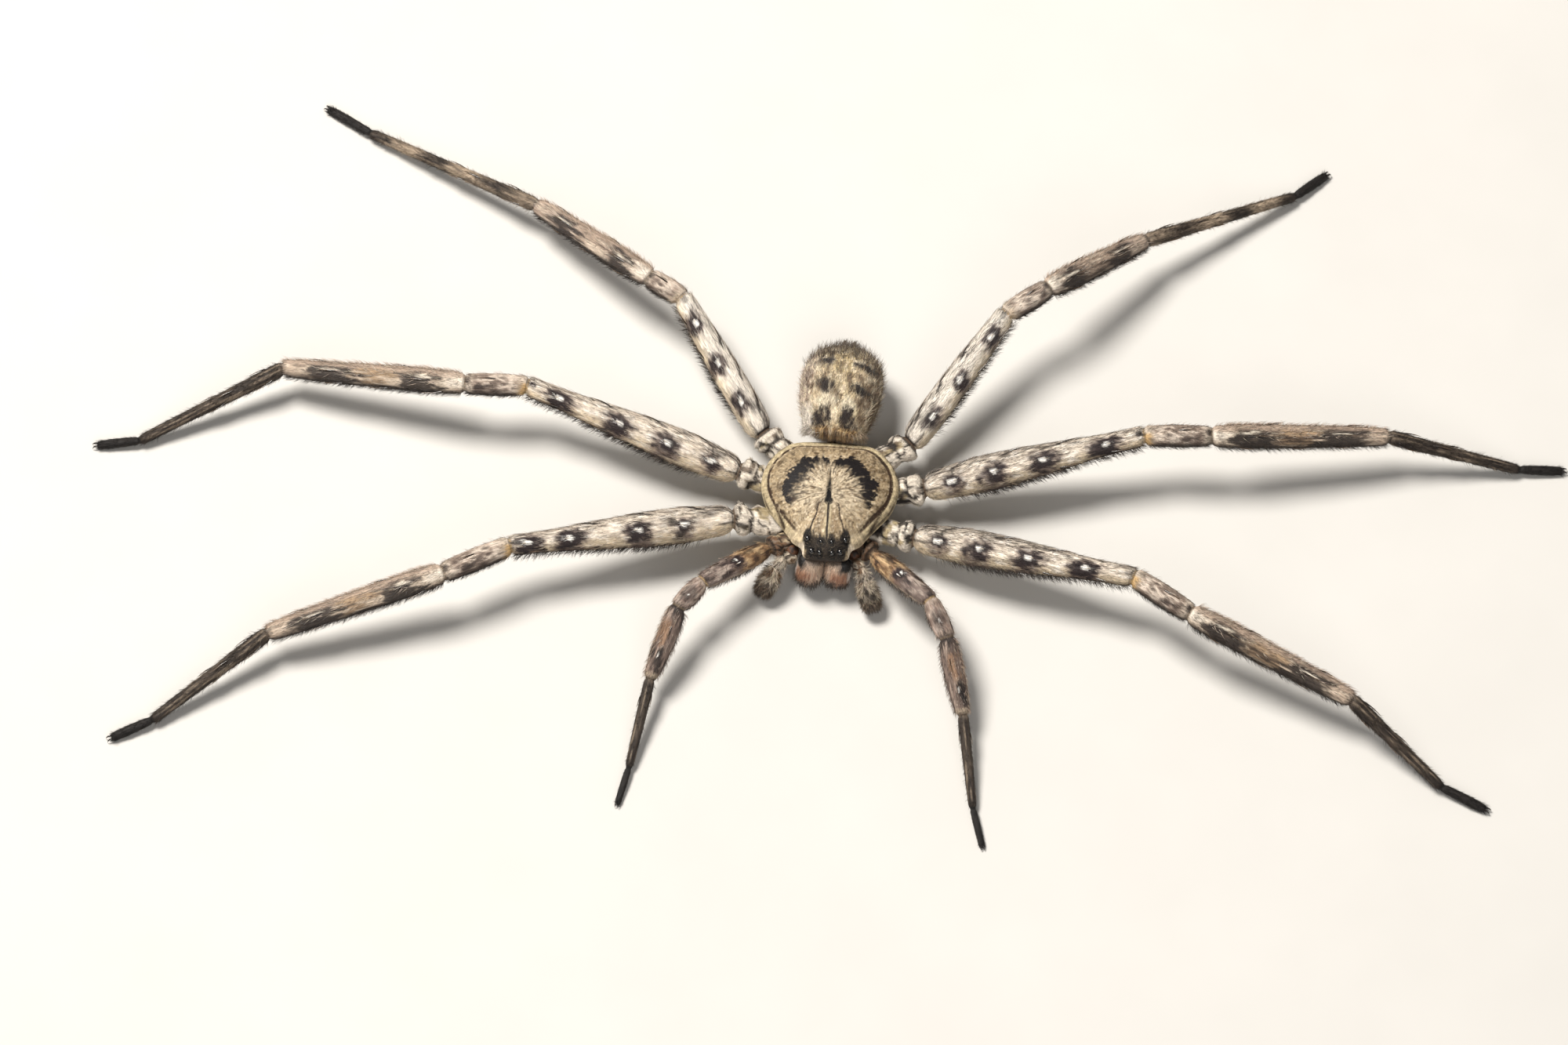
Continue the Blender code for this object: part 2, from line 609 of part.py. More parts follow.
def make_spine(root_point, outwards, length, parent, matrix):
    """One tapered spine that leans towards the foot, its root sunk into the segment."""
    towards = Vector((math.cos(SPINE_STAND), 0, 0)) + outwards * math.sin(SPINE_STAND)
    start = root_point - towards * SPINE_SUNK
    whole = length + SPINE_SUNK
    upright = towards.to_track_quat("Z", "Y").to_matrix().to_4x4()
    upright.translation = start + towards * whole / 2
    bm = bmesh.new()
    bmesh.ops.create_cone(bm, cap_ends=True, segments=SPINE_SIDES, radius1=SPINE_ROOT_RADIUS,
                          radius2=SPINE_TIP_RADIUS, depth=whole)
    return add_object("spine", bm, "horn", parent, matrix @ upright)


def make_leg(leg, root):
    joints = leg_joints(leg)
    directions = [joints[0] - mirrored(COXA_INNER[leg.pair], leg.side)]
    directions += [end - start for start, end in zip(joints, joints[1:])]
    for i, segment in enumerate(SEGMENTS):
        half_width, half_height = segment_shape(leg, segment)
        slim = segment in ("metatarsus", "tarsus")
        before = directions[i]
        after = directions[i + 2] if i + 2 < len(directions) else None
        bm, frame = tube_mesh(joints[i], joints[i + 1], half_width, half_height,
                              FOOT_SIDES if slim else LEG_SIDES, before=before, after=after)
        if segment == "tarsus":
            flatten_sole(bm, frame)
        finish = "dark_leg" if slim else "banded_leg"
        piece = add_object(f"leg_{leg.side}{leg.pair}_{segment}", bm, finish, root, frame)
        surface = tube_surface(joints[i], joints[i + 1], half_width, half_height, before, after, JOINT_GAP)
        spines = []
        for place, degrees, length in spines_of(leg, segment):
            angle = math.radians(degrees if leg.side == "r" else 180 - degrees)
            outwards = Vector((0, math.cos(angle) / half_width(place), math.sin(angle) / half_height(place)))
            spines.append(make_spine(surface(place, angle), outwards.normalized(), length, root, frame))
        if spines:
            join_by_union(piece, spines)


def centre_on_floor(root):
    """Move the spider so that the middle of its extent is at the origin, standing on Z = 0."""
    bpy.context.view_layer.update()
    corners = []
    for obj in root.children:
        corners += [obj.matrix_world @ vert.co for vert in obj.data.vertices]
    low = Vector(min(c[i] for c in corners) for i in range(3))
    high = Vector(max(c[i] for c in corners) for i in range(3))
    root.location = (-(low.x + high.x) / 2, -(low.y + high.y) / 2, -low.z)


def main():
    clear_scene()
    collection = bpy.data.collections.new("huntsman_spider")
    bpy.context.scene.collection.children.link(collection)
    root = bpy.data.objects.new("spider_origin", None)
    collection.objects.link(root)
    make_carapace(root)
    make_eyes(root)
    make_abdomen(root)
    make_sternum_and_coxae(root)
    make_jaws(root)
    make_palps(root)
    for leg in LEGS:
        make_leg(leg, root)
    centre_on_floor(root)


main()
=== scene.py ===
"""Looks of the huntsman spider: its skin, coat, spines, eyes, fangs and claws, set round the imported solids.

Lengths are in millimetres in the carapace's own frame, where the spider faces -Y, and are turned
into metres of the row frame when a mesh is made. A place on a surface is given by u, along it, and
v, round it, both from 0 to 1. On a leg v is 0 at the front edge, 0.25 on top and 0.5 at the rear.
Markings are layers of colour whose weights are built from smooth steps and from noise.
"""

import math
from collections import namedtuple

import bpy
import numpy as np
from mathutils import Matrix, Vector


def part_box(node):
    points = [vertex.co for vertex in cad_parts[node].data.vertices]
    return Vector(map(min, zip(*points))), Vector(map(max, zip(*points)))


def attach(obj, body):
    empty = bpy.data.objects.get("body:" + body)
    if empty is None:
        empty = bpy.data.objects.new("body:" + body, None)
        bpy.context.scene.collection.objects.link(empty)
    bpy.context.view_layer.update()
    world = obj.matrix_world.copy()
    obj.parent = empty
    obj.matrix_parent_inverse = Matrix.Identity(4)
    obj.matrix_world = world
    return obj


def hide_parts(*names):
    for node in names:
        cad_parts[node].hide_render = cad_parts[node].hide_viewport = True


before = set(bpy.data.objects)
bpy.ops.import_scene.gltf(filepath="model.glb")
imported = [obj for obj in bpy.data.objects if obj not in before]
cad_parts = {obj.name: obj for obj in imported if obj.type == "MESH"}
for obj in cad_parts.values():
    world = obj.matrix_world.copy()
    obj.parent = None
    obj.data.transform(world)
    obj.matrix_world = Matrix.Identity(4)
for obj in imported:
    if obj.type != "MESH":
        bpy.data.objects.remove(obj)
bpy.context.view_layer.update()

MM = 0.001
UP = np.array((0.0, 0.0, 1.0))
rng = np.random.default_rng(20)

# ---- sizes repeated from the solids ----
JOINT_GAP = 0.3
CARAPACE_FRONT = -5.75
CARAPACE_REAR = 5.85
CARAPACE_HALF_WIDTH = ((-5.75, 1.5), (-5.5, 1.95), (-4.6, 2.3), (-4.25, 2.85), (-4.0, 3.12),
                       (-3.5, 3.45), (-2.4, 4.3), (-0.8, 5.5), (1.4, 6.1), (3.4, 5.72), (4.9, 4.65),
                       (5.6, 3.7), (5.85, 3.0))
CARAPACE_CREST = ((-5.75, 5.1), (-5.3, 5.75), (-4.4, 6.25), (-2.5, 6.7), (0.0, 6.8),
                  (2.0, 6.55), (4.0, 5.85), (5.3, 5.0), (5.85, 4.55))
CARAPACE_MARGIN = ((-5.75, 4.75), (-4.6, 4.6), (-2.5, 4.4), (2.0, 4.35), (5.85, 4.35))
CARAPACE_UNDERSIDE = 0.15
CARAPACE_ROUND = 1.3
ABDOMEN_START = np.array((0.0, 6.05, 0.0))
ABDOMEN_LEAN = math.radians(-5.2)
ABDOMEN_LENGTH = 9.6
ABDOMEN_HALF_WIDTH = ((0.0, 2.25), (0.06, 2.7), (0.16, 3.12), (0.32, 3.55), (0.52, 3.78),
                      (0.72, 3.62), (0.88, 2.75), (1.0, 1.1))
ABDOMEN_TOP = ((0.0, 6.3), (0.1, 6.95), (0.3, 7.5), (0.5, 7.6), (0.75, 7.0), (0.92, 5.8), (1.0, 4.7))
ABDOMEN_BOTTOM = ((0.0, 5.0), (0.08, 2.9), (0.2, 1.8), (0.45, 1.3), (0.7, 1.4), (0.9, 2.1), (1.0, 2.9))
STERNUM_HALF = (3.1, 3.7, 0.95)
STERNUM_CENTRE = (0.0, 0.5, 2.9)
MAXILLA_FROM = (1.1, -2.2, 2.6)
MAXILLA_TO = (1.0, -4.3, 2.2)
MAXILLA_RADIUS = 0.75
STALK_FROM = (0.0, 3.4, 3.3)
STALK_TO = (-0.1, 6.33, 3.55)
STALK_RADIUS = 0.65
COXA_INNER = {1: (1.7, -2.3, 2.75), 2: (2.3, -1.3, 2.75), 3: (2.5, 1.5, 2.75), 4: (1.7, 3.2, 2.75)}
COXA_HALF_WIDTH = {1: 0.95, 2: 1.3, 3: 1.3, 4: 1.25}
COXA_HALF_HEIGHT = {1: 0.8, 2: 0.95, 3: 0.95, 4: 0.95}
CHELICERA_HALF_DEPTH = ((0.0, 0.55), (0.12, 0.95), (0.4, 1.25), (0.75, 1.1), (1.0, 0.75))
JAW_SWING = -0.3
FANG_LENGTH = 1.5
FANG_RADIUS = 0.3
SPINNERET_LENGTH = 0.75
SPINNERET_LOWERED = 0.4
PALP_BASE = {"r": (-2.6, -4.45, 2.5), "l": (2.47, -4.47, 2.5)}
PALP_ELBOW = {"r": (-3.6, -5.0, 3.0), "l": (3.12, -5.5, 3.0)}
PALP_WRIST = {"r": (-4.35, -5.75, 2.7), "l": (3.5, -6.5, 2.6)}
PALP_TIP = {"r": (-5.5, -7.65, 1.15), "l": (4.35, -8.5, 1.1)}
PALP_RADIUS = 0.57
CYMBIUM_RADIUS = 0.8
# place aside and along, and radius
EYES = {
    "front_middle": (0.55, -5.38, 0.27),
    "front_side": (1.28, -5.2, 0.34),
    "rear_middle": (0.48, -4.55, 0.25),
    "rear_side": (1.68, -4.2, 0.31),
}
EYE_SUNK = 0.35
Leg = namedtuple("Leg", "side pair base lengths headings heights spots")
LEGS = (
    Leg("r", 1, (-5.0, -4.1), (7.4, 3.1, 6.7, 8.0, 3.6), (-141, -129, -110, -100, -103),
        (3.3, 5.3, 5.0, 2.5, 0.62, 0.24), (0.5,)),
    Leg("r", 2, (-8.3, -1.6), (19.9, 6.3, 16.2, 12.5, 4.0), (-166, -152, -160, -141, -153),
        (3.4, 5.8, 5.9, 3.2, 0.72, 0.31), (0.22, 0.43, 0.74, 0.93)),
    Leg("r", 3, (-8.1, 3.0), (20.15, 5.5, 17.0, 14.3, 4.0), (162.5, -178, 173, -152, -172),
        (3.5, 6.2, 6.4, 3.4, 0.72, 0.31), (0.12, 0.33, 0.56, 0.85)),
    Leg("r", 4, (-6.2, 6.8), (14.4, 3.5, 13.9, 18.2, 5.0), (124, 150, 143, 153, 149),
        (3.5, 6.2, 6.4, 3.6, 0.72, 0.31), (0.22, 0.51, 0.81)),
    Leg("l", 1, (4.1, -4.2), (7.5, 3.7, 6.8, 8.2, 3.7), (-44, -64, -74, -81, -74),
        (3.3, 5.3, 5.0, 2.5, 0.62, 0.24), (0.5,)),
    Leg("l", 2, (7.7, -2.4), (19.8, 5.9, 15.7, 10.9, 4.4), (-12, -33, -24, -37, -24),
        (3.4, 6.4, 6.6, 4.4, 0.72, 0.31), (0.11, 0.30, 0.53, 0.79)),
    Leg("l", 3, (8.3, 2.4), (19.8, 5.9, 16.0, 12.6, 4.1), (14, 2, 7, -3, 4),
        (3.5, 6.6, 6.8, 4.6, 0.72, 0.31), (0.12, 0.31, 0.54, 0.83)),
    Leg("l", 4, (6.8, 6.6), (14.4, 4.4, 11.6, 16.1, 4.0), (55, 36, 39, 29, 42),
        (3.5, 7.6, 8.0, 4.8, 0.72, 0.31), (0.20, 0.49, 0.82)),
)
SEGMENTS = ("femur", "patella", "tibia", "metatarsus", "tarsus")
# the long femora are 0.02 mm wider near the base than the solids
LONG_LEG_HALF_WIDTH = {
    "femur": ((0.0, 1.32), (0.08, 1.52), (0.27, 1.75), (0.55, 1.5), (0.8, 1.12), (1.0, 1.02)),
    "patella": ((0.0, 1.0), (0.5, 1.12), (1.0, 1.02)),
    "tibia": ((0.0, 1.02), (0.15, 1.19), (0.5, 1.13), (0.85, 1.0), (1.0, 0.88)),
    "metatarsus": ((0.0, 0.75), (0.1, 0.76), (0.5, 0.64), (1.0, 0.55)),
    "tarsus": ((0.0, 0.46), (0.3, 0.5), (0.75, 0.52), (1.0, 0.44)),
}
SHORT_LEG_HALF_WIDTH = {
    "femur": ((0.0, 0.85), (0.3, 1.1), (0.7, 1.05), (1.0, 0.9)),
    "patella": ((0.0, 0.85), (0.5, 1.0), (1.0, 0.9)),
    "tibia": ((0.0, 0.85), (0.3, 1.0), (0.7, 0.92), (1.0, 0.72)),
    "metatarsus": ((0.0, 0.58), (0.5, 0.54), (1.0, 0.45)),
    "tarsus": ((0.0, 0.38), (0.5, 0.4), (1.0, 0.36)),
}
HIND_FEMUR_HALF_WIDTH = ((0.0, 1.18), (0.1, 1.34), (0.3, 1.42), (0.6, 1.34), (0.8, 1.18), (1.0, 1.04))
FLATNESS = {"femur": 0.82, "patella": 0.84, "tibia": 0.86, "metatarsus": 0.9, "tarsus": 0.9}
# share of the segment's length, angle round it in degrees, and length of each spine
LONG_LEG_SPINES = {
    "femur": ((0.17, 138, 1.9), (0.4, 138, 1.9), (0.64, 138, 1.9), (0.62, 15, 1.7), (0.86, 20, 1.7)),
    "patella": ((0.55, 100, 1.6),),
    "tibia": ((0.2, 68, 2.0), (0.7, 75, 2.0), (0.3, 150, 1.9), (0.76, 150, 1.9),
              (0.12, 5, 2.0), (0.42, 0, 2.1), (0.68, 0, 2.0)),
    "metatarsus": ((0.08, 10, 2.1), (0.1, 165, 2.0), (0.34, 90, 1.8), (0.42, 5, 1.9), (0.45, 175, 1.9)),
}
SHORT_LEG_SPINES = {
    "femur": ((0.3, 130, 1.1), (0.72, 130, 1.1)),
    "tibia": ((0.3, 75, 1.2), (0.6, 150, 1.2), (0.45, 5, 1.3)),
    "metatarsus": ((0.15, 10, 1.3), (0.2, 165, 1.2)),
}
SPOT_SPINE_ANGLE = 72
SPOT_SPINE_LENGTH = {1: 1.2, 2: 1.8, 3: 1.8, 4: 1.7}

# ---- how the skin differs from the solids ----
COAT_DEPTH = 0.1
ABDOMEN_COAT_DEPTH = 0.2
RING_STEP = 0.17
LEG_SIDES = 44
COXA_LUMPS = 0.13
# knobs that stand out more at the end of the coxa
COXA_SHAPE = ((0.0, 0.8), (0.3, 1.0), (0.6, 1.06), (0.7, 1.04), (0.76, 0.98), (0.82, 1.12),
              (0.91, 1.22), (1.0, 1.12))
FEMUR_ROUND_START = (1.1, 0.66)
# jaws a little wider and closer together
CHELICERA_TOP = (1.22, -5.25, 4.2)
CHELICERA_TIP = (1.24, -6.3, 1.3)
CHELICERA_HALF_WIDTH = ((0.0, 0.9), (0.12, 1.12), (0.4, 1.22), (0.75, 1.2), (1.0, 0.95))
# a lens's share of the solid eye's radius
EYE_SHARE = 0.88


# ---- small helpers ----

def unit(vectors):
    return vectors / np.maximum(np.linalg.norm(vectors, axis=-1, keepdims=True), 1e-12)


def smooth(low, high, x):
    """A smooth step from 0 at low to 1 at high. It falls where low is the larger one."""
    s = np.clip((x - low) / (high - low), 0, 1)
    return s * s * (3 - 2 * s)


def plateau(x, start, full, fade, end):
    """0 up to start, 1 from full to fade, and 0 again from end."""
    return smooth(start, full, x) * smooth(end, fade, x)


def oval(x, y, half_x, half_y):
    """Distance from the middle of an oval, 1 on its edge."""
    return np.hypot(x / half_x, y / half_y)


def drum(x, v):
    """Points round a drum of radius 1, at x along it."""
    return np.stack((x, np.cos(v * math.tau), np.sin(v * math.tau)), axis=-1)


def fan(r, angle, width):
    """Polar coordinates that noise can be read in without a seam."""
    return np.stack((r, width * np.cos(angle), width * np.sin(angle)), 1)


def shade(*display):
    """A colour given as display values from 0 to 255, in linear light."""
    c = np.array(display, float) / 255
    return np.where(c <= 0.04045, c / 12.92, ((c + 0.055) / 1.055) ** 2.4)


def linear(colour):
    """A tuple is a colour's display values, anything else is in linear light already."""
    return shade(*colour) if isinstance(colour, tuple) else colour


def layered(tint, *layers):
    """A colour, or one for each point, with layers of (colour, weight) laid over it in turn."""
    tint = linear(tint)
    for colour, weight in layers:
        tint = tint + (linear(colour) - tint) * np.clip(weight, 0, 1)[..., None]
    return tint


def profile(points, at):
    """The smooth curve through (place, value) points, read at an array of places."""
    places = np.array([place for place, _ in points], float)
    values = np.array([value for _, value in points], float)
    at = np.clip(at, places[0], places[-1])
    slopes = np.gradient(values, places)
    slopes[1:-1] = (values[2:] - values[:-2]) / (places[2:] - places[:-2])
    i = np.clip(np.searchsorted(places, at) - 1, 0, len(places) - 2)
    span = places[i + 1] - places[i]
    s = (at - places[i]) / span
    near = (1 + 2 * s) * (1 - s) ** 2 * values[i] + s * (1 - s) ** 2 * span * slopes[i]
    far = s * s * (3 - 2 * s) * values[i + 1] + s * s * (s - 1) * span * slopes[i + 1]
    return near + far


def noise(points, scale, seed=0):
    """Smooth noise between -1 and 1 at an array of points. scale is one number or one for each axis."""
    p = points * np.array(scale, float) + 31.7 * seed + 500
    cell = np.floor(p).astype(np.int64)
    f = p - cell
    f = f * f * (3 - 2 * f)
    total = np.zeros(len(points))
    for corner in np.ndindex(2, 2, 2):
        key = cell + corner
        h = (key[:, 0] * 73856093) ^ (key[:, 1] * 19349663) ^ (key[:, 2] * 83492791)
        h = (h ^ (h >> 13)) * 1274126177 & 0x7FFFFFFF
        h = (h ^ (h >> 16)) & 0xFFFF
        total += (h / 32767.5 - 1) * np.prod(np.where(corner, f, 1 - f), axis=1)
    return total


def flecked(tint, points, amount, stretch=(1.0, 1.0, 1.0)):
    """Colours broken up by fine light and dark flecks."""
    stretched = points * np.array(stretch)
    fleck = noise(stretched, 4.5, 70) + 0.8 * noise(stretched, 10.0, 71)
    return tint * (1 + amount * fleck)[:, None]


def folds(points):
    """1 along the creases of crumpled skin, 0 between them."""
    return smooth(0.16, 0.03, np.abs(noise(points, 1.1, 61)))


def mirrored(point, side):
    return np.array((-point[0] if side == "r" else point[0], point[1], point[2]), float)


low_corner, high_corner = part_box("carapace")
ORIGIN = np.array(((low_corner.x + high_corner.x) / 2, high_corner.y - CARAPACE_REAR * MM, 0.0))


# ---- surfaces ----

def distal(u, points, along):
    """Hair that points to the far end of its patch."""
    return along


# place(u, v) gives points, grain(u, v) coordinates whose X runs with the hair, paint(u, v) colours,
# lie(u, points, along) the way the hair points. rings is how finely the patch is cut along u, and
# window the stretch of the bake map that it and its hair take up.
Patch = namedtuple("Patch", "place grain paint rings lie window", defaults=(distal, (0.0, 1.0)))


def rounding(distance, reach, share):
    """How thick a tube is near its end, from the share at its end face to 1 at a distance of reach."""
    return share + (1 - share) * np.sqrt(1 - (1 - np.clip(distance / reach, 0, 1)) ** 2)


class Tube:
    """A flattened tube between two joints, with each end in the plane that halves the bend there."""

    ROUND_END = (0.5, 0.8)

    def __init__(self, start, end, half_width, half_height, before=None, after=None, gap=JOINT_GAP,
                 front=1, inset=COAT_DEPTH, lumps=0.0, round_start=ROUND_END):
        self.start = np.array(start, float)
        step = np.array(end, float) - self.start
        self.length = float(np.linalg.norm(step))
        x = unit(step)
        y = unit(np.cross(UP if abs(x[2]) < 0.99 else np.array((0.0, 1.0, 0.0)), x))
        self.axes = np.array((x, y, np.cross(x, y)))
        ahead = np.array((1.0, 0.0, 0.0))
        self.first_plane = ahead if before is None else unit(ahead + self.axes @ unit(before))
        self.last_plane = ahead if after is None else unit(ahead + self.axes @ unit(after))
        self.half_width = half_width
        self.half_height = half_height
        self.gap = gap
        self.front = front
        self.inset = inset
        self.lumps = lumps
        self.round_start = round_start

    def own(self, t, v):
        """Points in the tube's own frame, X along it."""
        dip = rounding(t * self.length, *self.round_start) * rounding((1 - t) * self.length, *self.ROUND_END)
        if self.lumps:
            ring = drum(t * self.length, v) + self.start
            dip = dip + self.lumps * noise(ring, 1.3, 60) - self.lumps * 0.8 * folds(ring)
        y = self.front * dip * (self.half_width(t) - self.inset) * np.cos(v * math.tau)
        z = dip * (self.half_height(t) - self.inset) * np.sin(v * math.tau)
        half_gap = self.gap / 2
        first = (half_gap - y * self.first_plane[1] - z * self.first_plane[2]) / self.first_plane[0]
        last = (-half_gap - y * self.last_plane[1] - z * self.last_plane[2]) / self.last_plane[0]
        last = self.length + last
        return np.stack((first + (last - first) * t, y, z), axis=-1)

    def place(self, t, v):
        return self.own(t, v) @ self.axes + self.start

    def patch(self, paint, rings, window=(0.0, 1.0)):
        return Patch(self.place, self.own, paint, rings, window=window)


def curve(points, factor=1.0):
    return lambda t: factor * profile(points, t)


def tapered(bulge):
    return lambda t: bulge * (1 - 0.25 * (2 * t - 1) ** 2)


def surface_frame(patch, u, v):
    """Points with their outward normals, the direction along u, and the area for each unit of u and v."""
    step = 1e-3
    u_high = np.minimum(u + step, 1)
    u_low = np.maximum(u - step, 0)
    points = patch.place(u, v)
    along = (patch.place(u_high, v) - patch.place(u_low, v)) / (u_high - u_low)[:, None]
    around = (patch.place(u, v + step) - patch.place(u, v - step)) / (2 * step)
    normal = np.cross(along, around)
    area = np.linalg.norm(normal, axis=1)
    outwards = np.sum(normal * (points - patch.place(u, v + 0.5)), axis=1)
    normal = unit(normal) * np.sign(outwards.mean())
    return points, normal, unit(along), area


def leg_joints(leg):
    points = [np.array((*leg.base, leg.heights[0]))]
    for length, heading, height in zip(leg.lengths, leg.headings, leg.heights[1:]):
        rise = height - points[-1][2]
        level = math.sqrt(length ** 2 - rise ** 2)
        angle = math.radians(heading)
        points.append(points[-1] + (level * math.cos(angle), level * math.sin(angle), rise))
    return points


# ---- colours ----

PALE_HAIR = shade(212, 198, 180)
CREAM_HAIR = shade(200, 178, 140)
GREY_HAIR = shade(160, 150, 136)
UNDER_HAIR = shade(150, 136, 114)
WHITE_HAIR = shade(238, 234, 228)
PINK_HAIR = shade(180, 158, 140)
SPOT_EDGE = shade(96, 78, 74)
SPOT = shade(38, 26, 27)
DARK_HAIR = shade(42, 34, 30)
BLACK = shade(14, 11, 11)
FOOT_HAIR = shade(46, 38, 33)
FOOT_GREY = shade(112, 98, 84)
FOLD_DARK = shade(40, 32, 27)
FOLD_YELLOW = shade(178, 150, 108)
TAN = shade(172, 153, 124)
TAN_DEEP = shade(120, 97, 68)
RIM = shade(196, 180, 146)
INNER_PALE = shade(212, 196, 170)
LINE = shade(52, 36, 24)
CRESCENT = shade(16, 10, 12)
EYE_FIELD = shade(50, 42, 35)
ABDOMEN_CREAM = shade(214, 196, 160)
ABDOMEN_GREY = shade(166, 146, 122)
ABDOMEN_PALE = shade(220, 208, 184)
ABDOMEN_SPOT = shade(44, 35, 31)
ABDOMEN_ORANGE = shade(194, 156, 106)
JAW_ORANGE = shade(170, 122, 94)
JAW_DEEP = shade(128, 74, 48)
JAW_PALE = shade(206, 180, 158)
JAW_DARK = shade(40, 32, 26)
KNOB = shade(222, 211, 196)
KNOB_OLIVE = shade(160, 144, 112)
KNOB_BROWN = shade(112, 84, 62)
CHEEK = shade(208, 190, 160)


# ---- legs ----

TIBIA_BANDS = ((0.0, 0.0), (0.09, 0.05), (0.14, 1.0), (0.3, 1.0), (0.36, 0.1), (0.54, 0.1),
               (0.6, 1.0), (0.82, 0.95), (0.88, 0.1), (1.0, 0.0))
HIND_TIBIA_BANDS = ((0.0, 0.0), (0.08, 0.1), (0.13, 1.0), (0.25, 1.0), (0.33, 0.1), (0.56, 0.1),
                    (0.62, 1.0), (0.75, 1.0), (0.82, 0.1), (1.0, 0.0))
FOOT_BANDS = ((0.0, 0.4), (0.06, 0.85), (0.4, 0.8), (0.5, 0.75), (0.7, 0.95), (1.0, 1.0))
HIND_FOOT_BANDS = ((0.0, 0.35), (0.08, 0.4), (0.15, 0.8), (0.3, 0.75), (0.37, 0.15), (0.5, 0.15),
                   (0.55, 0.95), (0.67, 0.95), (0.72, 0.2), (0.86, 0.25), (0.91, 0.9), (1.0, 0.95))
SPOT_ANGLE = SPOT_SPINE_ANGLE - 3
SPOT_SIZE = {1: 0.55, 2: 1.0, 3: 1.0, 4: 0.76}
FIRST_SPOT_SMALLER = 0.72
COXA_RING = 0.76
ALONG_HAIR = (0.35, 1, 1)


def round_degrees(v):
    """The angle round a leg: 0 in front, 90 on top, 180 at the rear, down to -90 and up to 270 below."""
    return (v * 360 + 90) % 360 - 90


def spot_shape(along, up, half, above, below):
    """Distance from the middle of a squarish spot, 1 at its edge."""
    tall = np.where(up > 0, above, below)
    return ((np.abs(along) / half) ** 2.2 + (np.abs(up) / tall) ** 2.2) ** (1 / 2.2)


def paint_femur(leg, tube, t, v):
    own = tube.own(t, v)
    deg = round_degrees(v)
    x = t * tube.length
    hind = leg.pair == 4
    radius = tube.half_width(t)
    across = np.radians(deg - SPOT_ANGLE) * radius
    ragged = 0.26 * noise(own, (1.6, 4, 4), 2) + 0.2 * noise(own, (3, 12, 12), 3)
    tint = short_femur_fur(own, t, deg) if leg.pair == 1 else long_femur_fur(hind, own, t, deg, ragged)
    line = smooth(0.3, 0.6, noise(own, (0.55, 7, 7), 4)) * plateau(deg, 92, 110, 165, 195)
    tint = layered(tint, ((56, 46, 40), (0.25 if hind else 0.6) * line))
    if leg.pair > 1:
        for place, _, _ in LONG_LEG_SPINES["femur"][:3]:
            ahead = x - place * tube.length + 0.4
            slant = np.radians(deg - 126) * radius - 0.2 * ahead
            tint = layered(tint, (FOLD_DARK, smooth(1.2, 0.7, oval(ahead, slant, 0.6, 0.16) + 0.3 * ragged)))
    for index, spot in enumerate(leg.spots):
        tint = layered(tint, *femur_spot(leg, index, x - spot * tube.length, across, ragged))
    rays = smooth(0.02, 0.22, noise(np.stack((x * 0.5, deg / 10, deg * 0), 1), 1, 5))
    tint = layered(tint, (FOLD_DARK, 0.9 * rays * smooth(3.4, 1.4, x) * plateau(deg, 20, 50, 160, 190)))
    if leg.pair in (2, 3):
        # strokes that stand round the first spot
        ahead = x - leg.spots[0] * tube.length
        turn = np.arctan2(across, ahead)
        strokes = noise(np.stack((3.2 * np.cos(turn), 3.2 * np.sin(turn), 0.3 * x), 1), 1, 86)
        circle = plateau(np.hypot(ahead, across), 0.5, 0.8, 1.3, 2.1)
        tint = layered(tint, (FOLD_DARK, 0.9 * smooth(0.15, 0.4, strokes) * circle))
    base = smooth(0.3, 0.0, x) * plateau(deg, 10, 50, 160, 200)
    tint = layered(tint, (FOLD_DARK, (1.0 if hind else 0.5) * base))
    if leg.pair > 1:
        beyond = x - tube.length
        knee = oval(beyond + 0.3, deg - 88, 0.34, 20) + 0.5 * ragged
        tint = layered(tint, (SPOT, (1.0 if leg.pair == 3 else 0.6) * smooth(1.2, 0.7, knee)),
                       (WHITE_HAIR, 0.8 * smooth(1.1, 0.6, oval(beyond + 0.95, deg - 90, 0.3, 9))))
    return flecked(tint, own, 0.2, ALONG_HAIR)


def long_femur_fur(hind, own, t, deg, ragged):
    """Pale fur, creamy in front and greyer behind, worn between its tufts, darker on the lower front edge as
    dark hair and painted shade.
    """
    streak = noise(own, (0.7, 5, 5), 1)
    tufts = noise(own, (1.9, 4.5, 4.5), 80) + 0.6 * noise(own, (3.5, 9, 9), 81)
    edge = smooth(22, -8, deg + 20 * ragged) * smooth(0.06, 0.25, t)
    return layered(
        (226, 217, 205) if hind else (218, 205, 189),
        (CREAM_HAIR, smooth(75, 30, deg + 25 * ragged) * 0.6),
        ((172, 158, 144), 0.5 * smooth(110, 155, deg) + 0.3 * smooth(0.1, 0.8, streak)),
        ((128, 110, 96), (0.2 if hind else 0.42) * smooth(0.15, 0.7, -tufts)),
        ((240, 232, 222), 0.7 * smooth(0.15, 0.7, tufts) * smooth(0, 40, deg)),
        # the lower front edge: dark hair and painted shade
        ((96, 82, 70), (0.35 if hind else 0.8) * edge),
        (UNDER_HAIR, smooth(0, -45, deg) + smooth(185, 225, deg)))


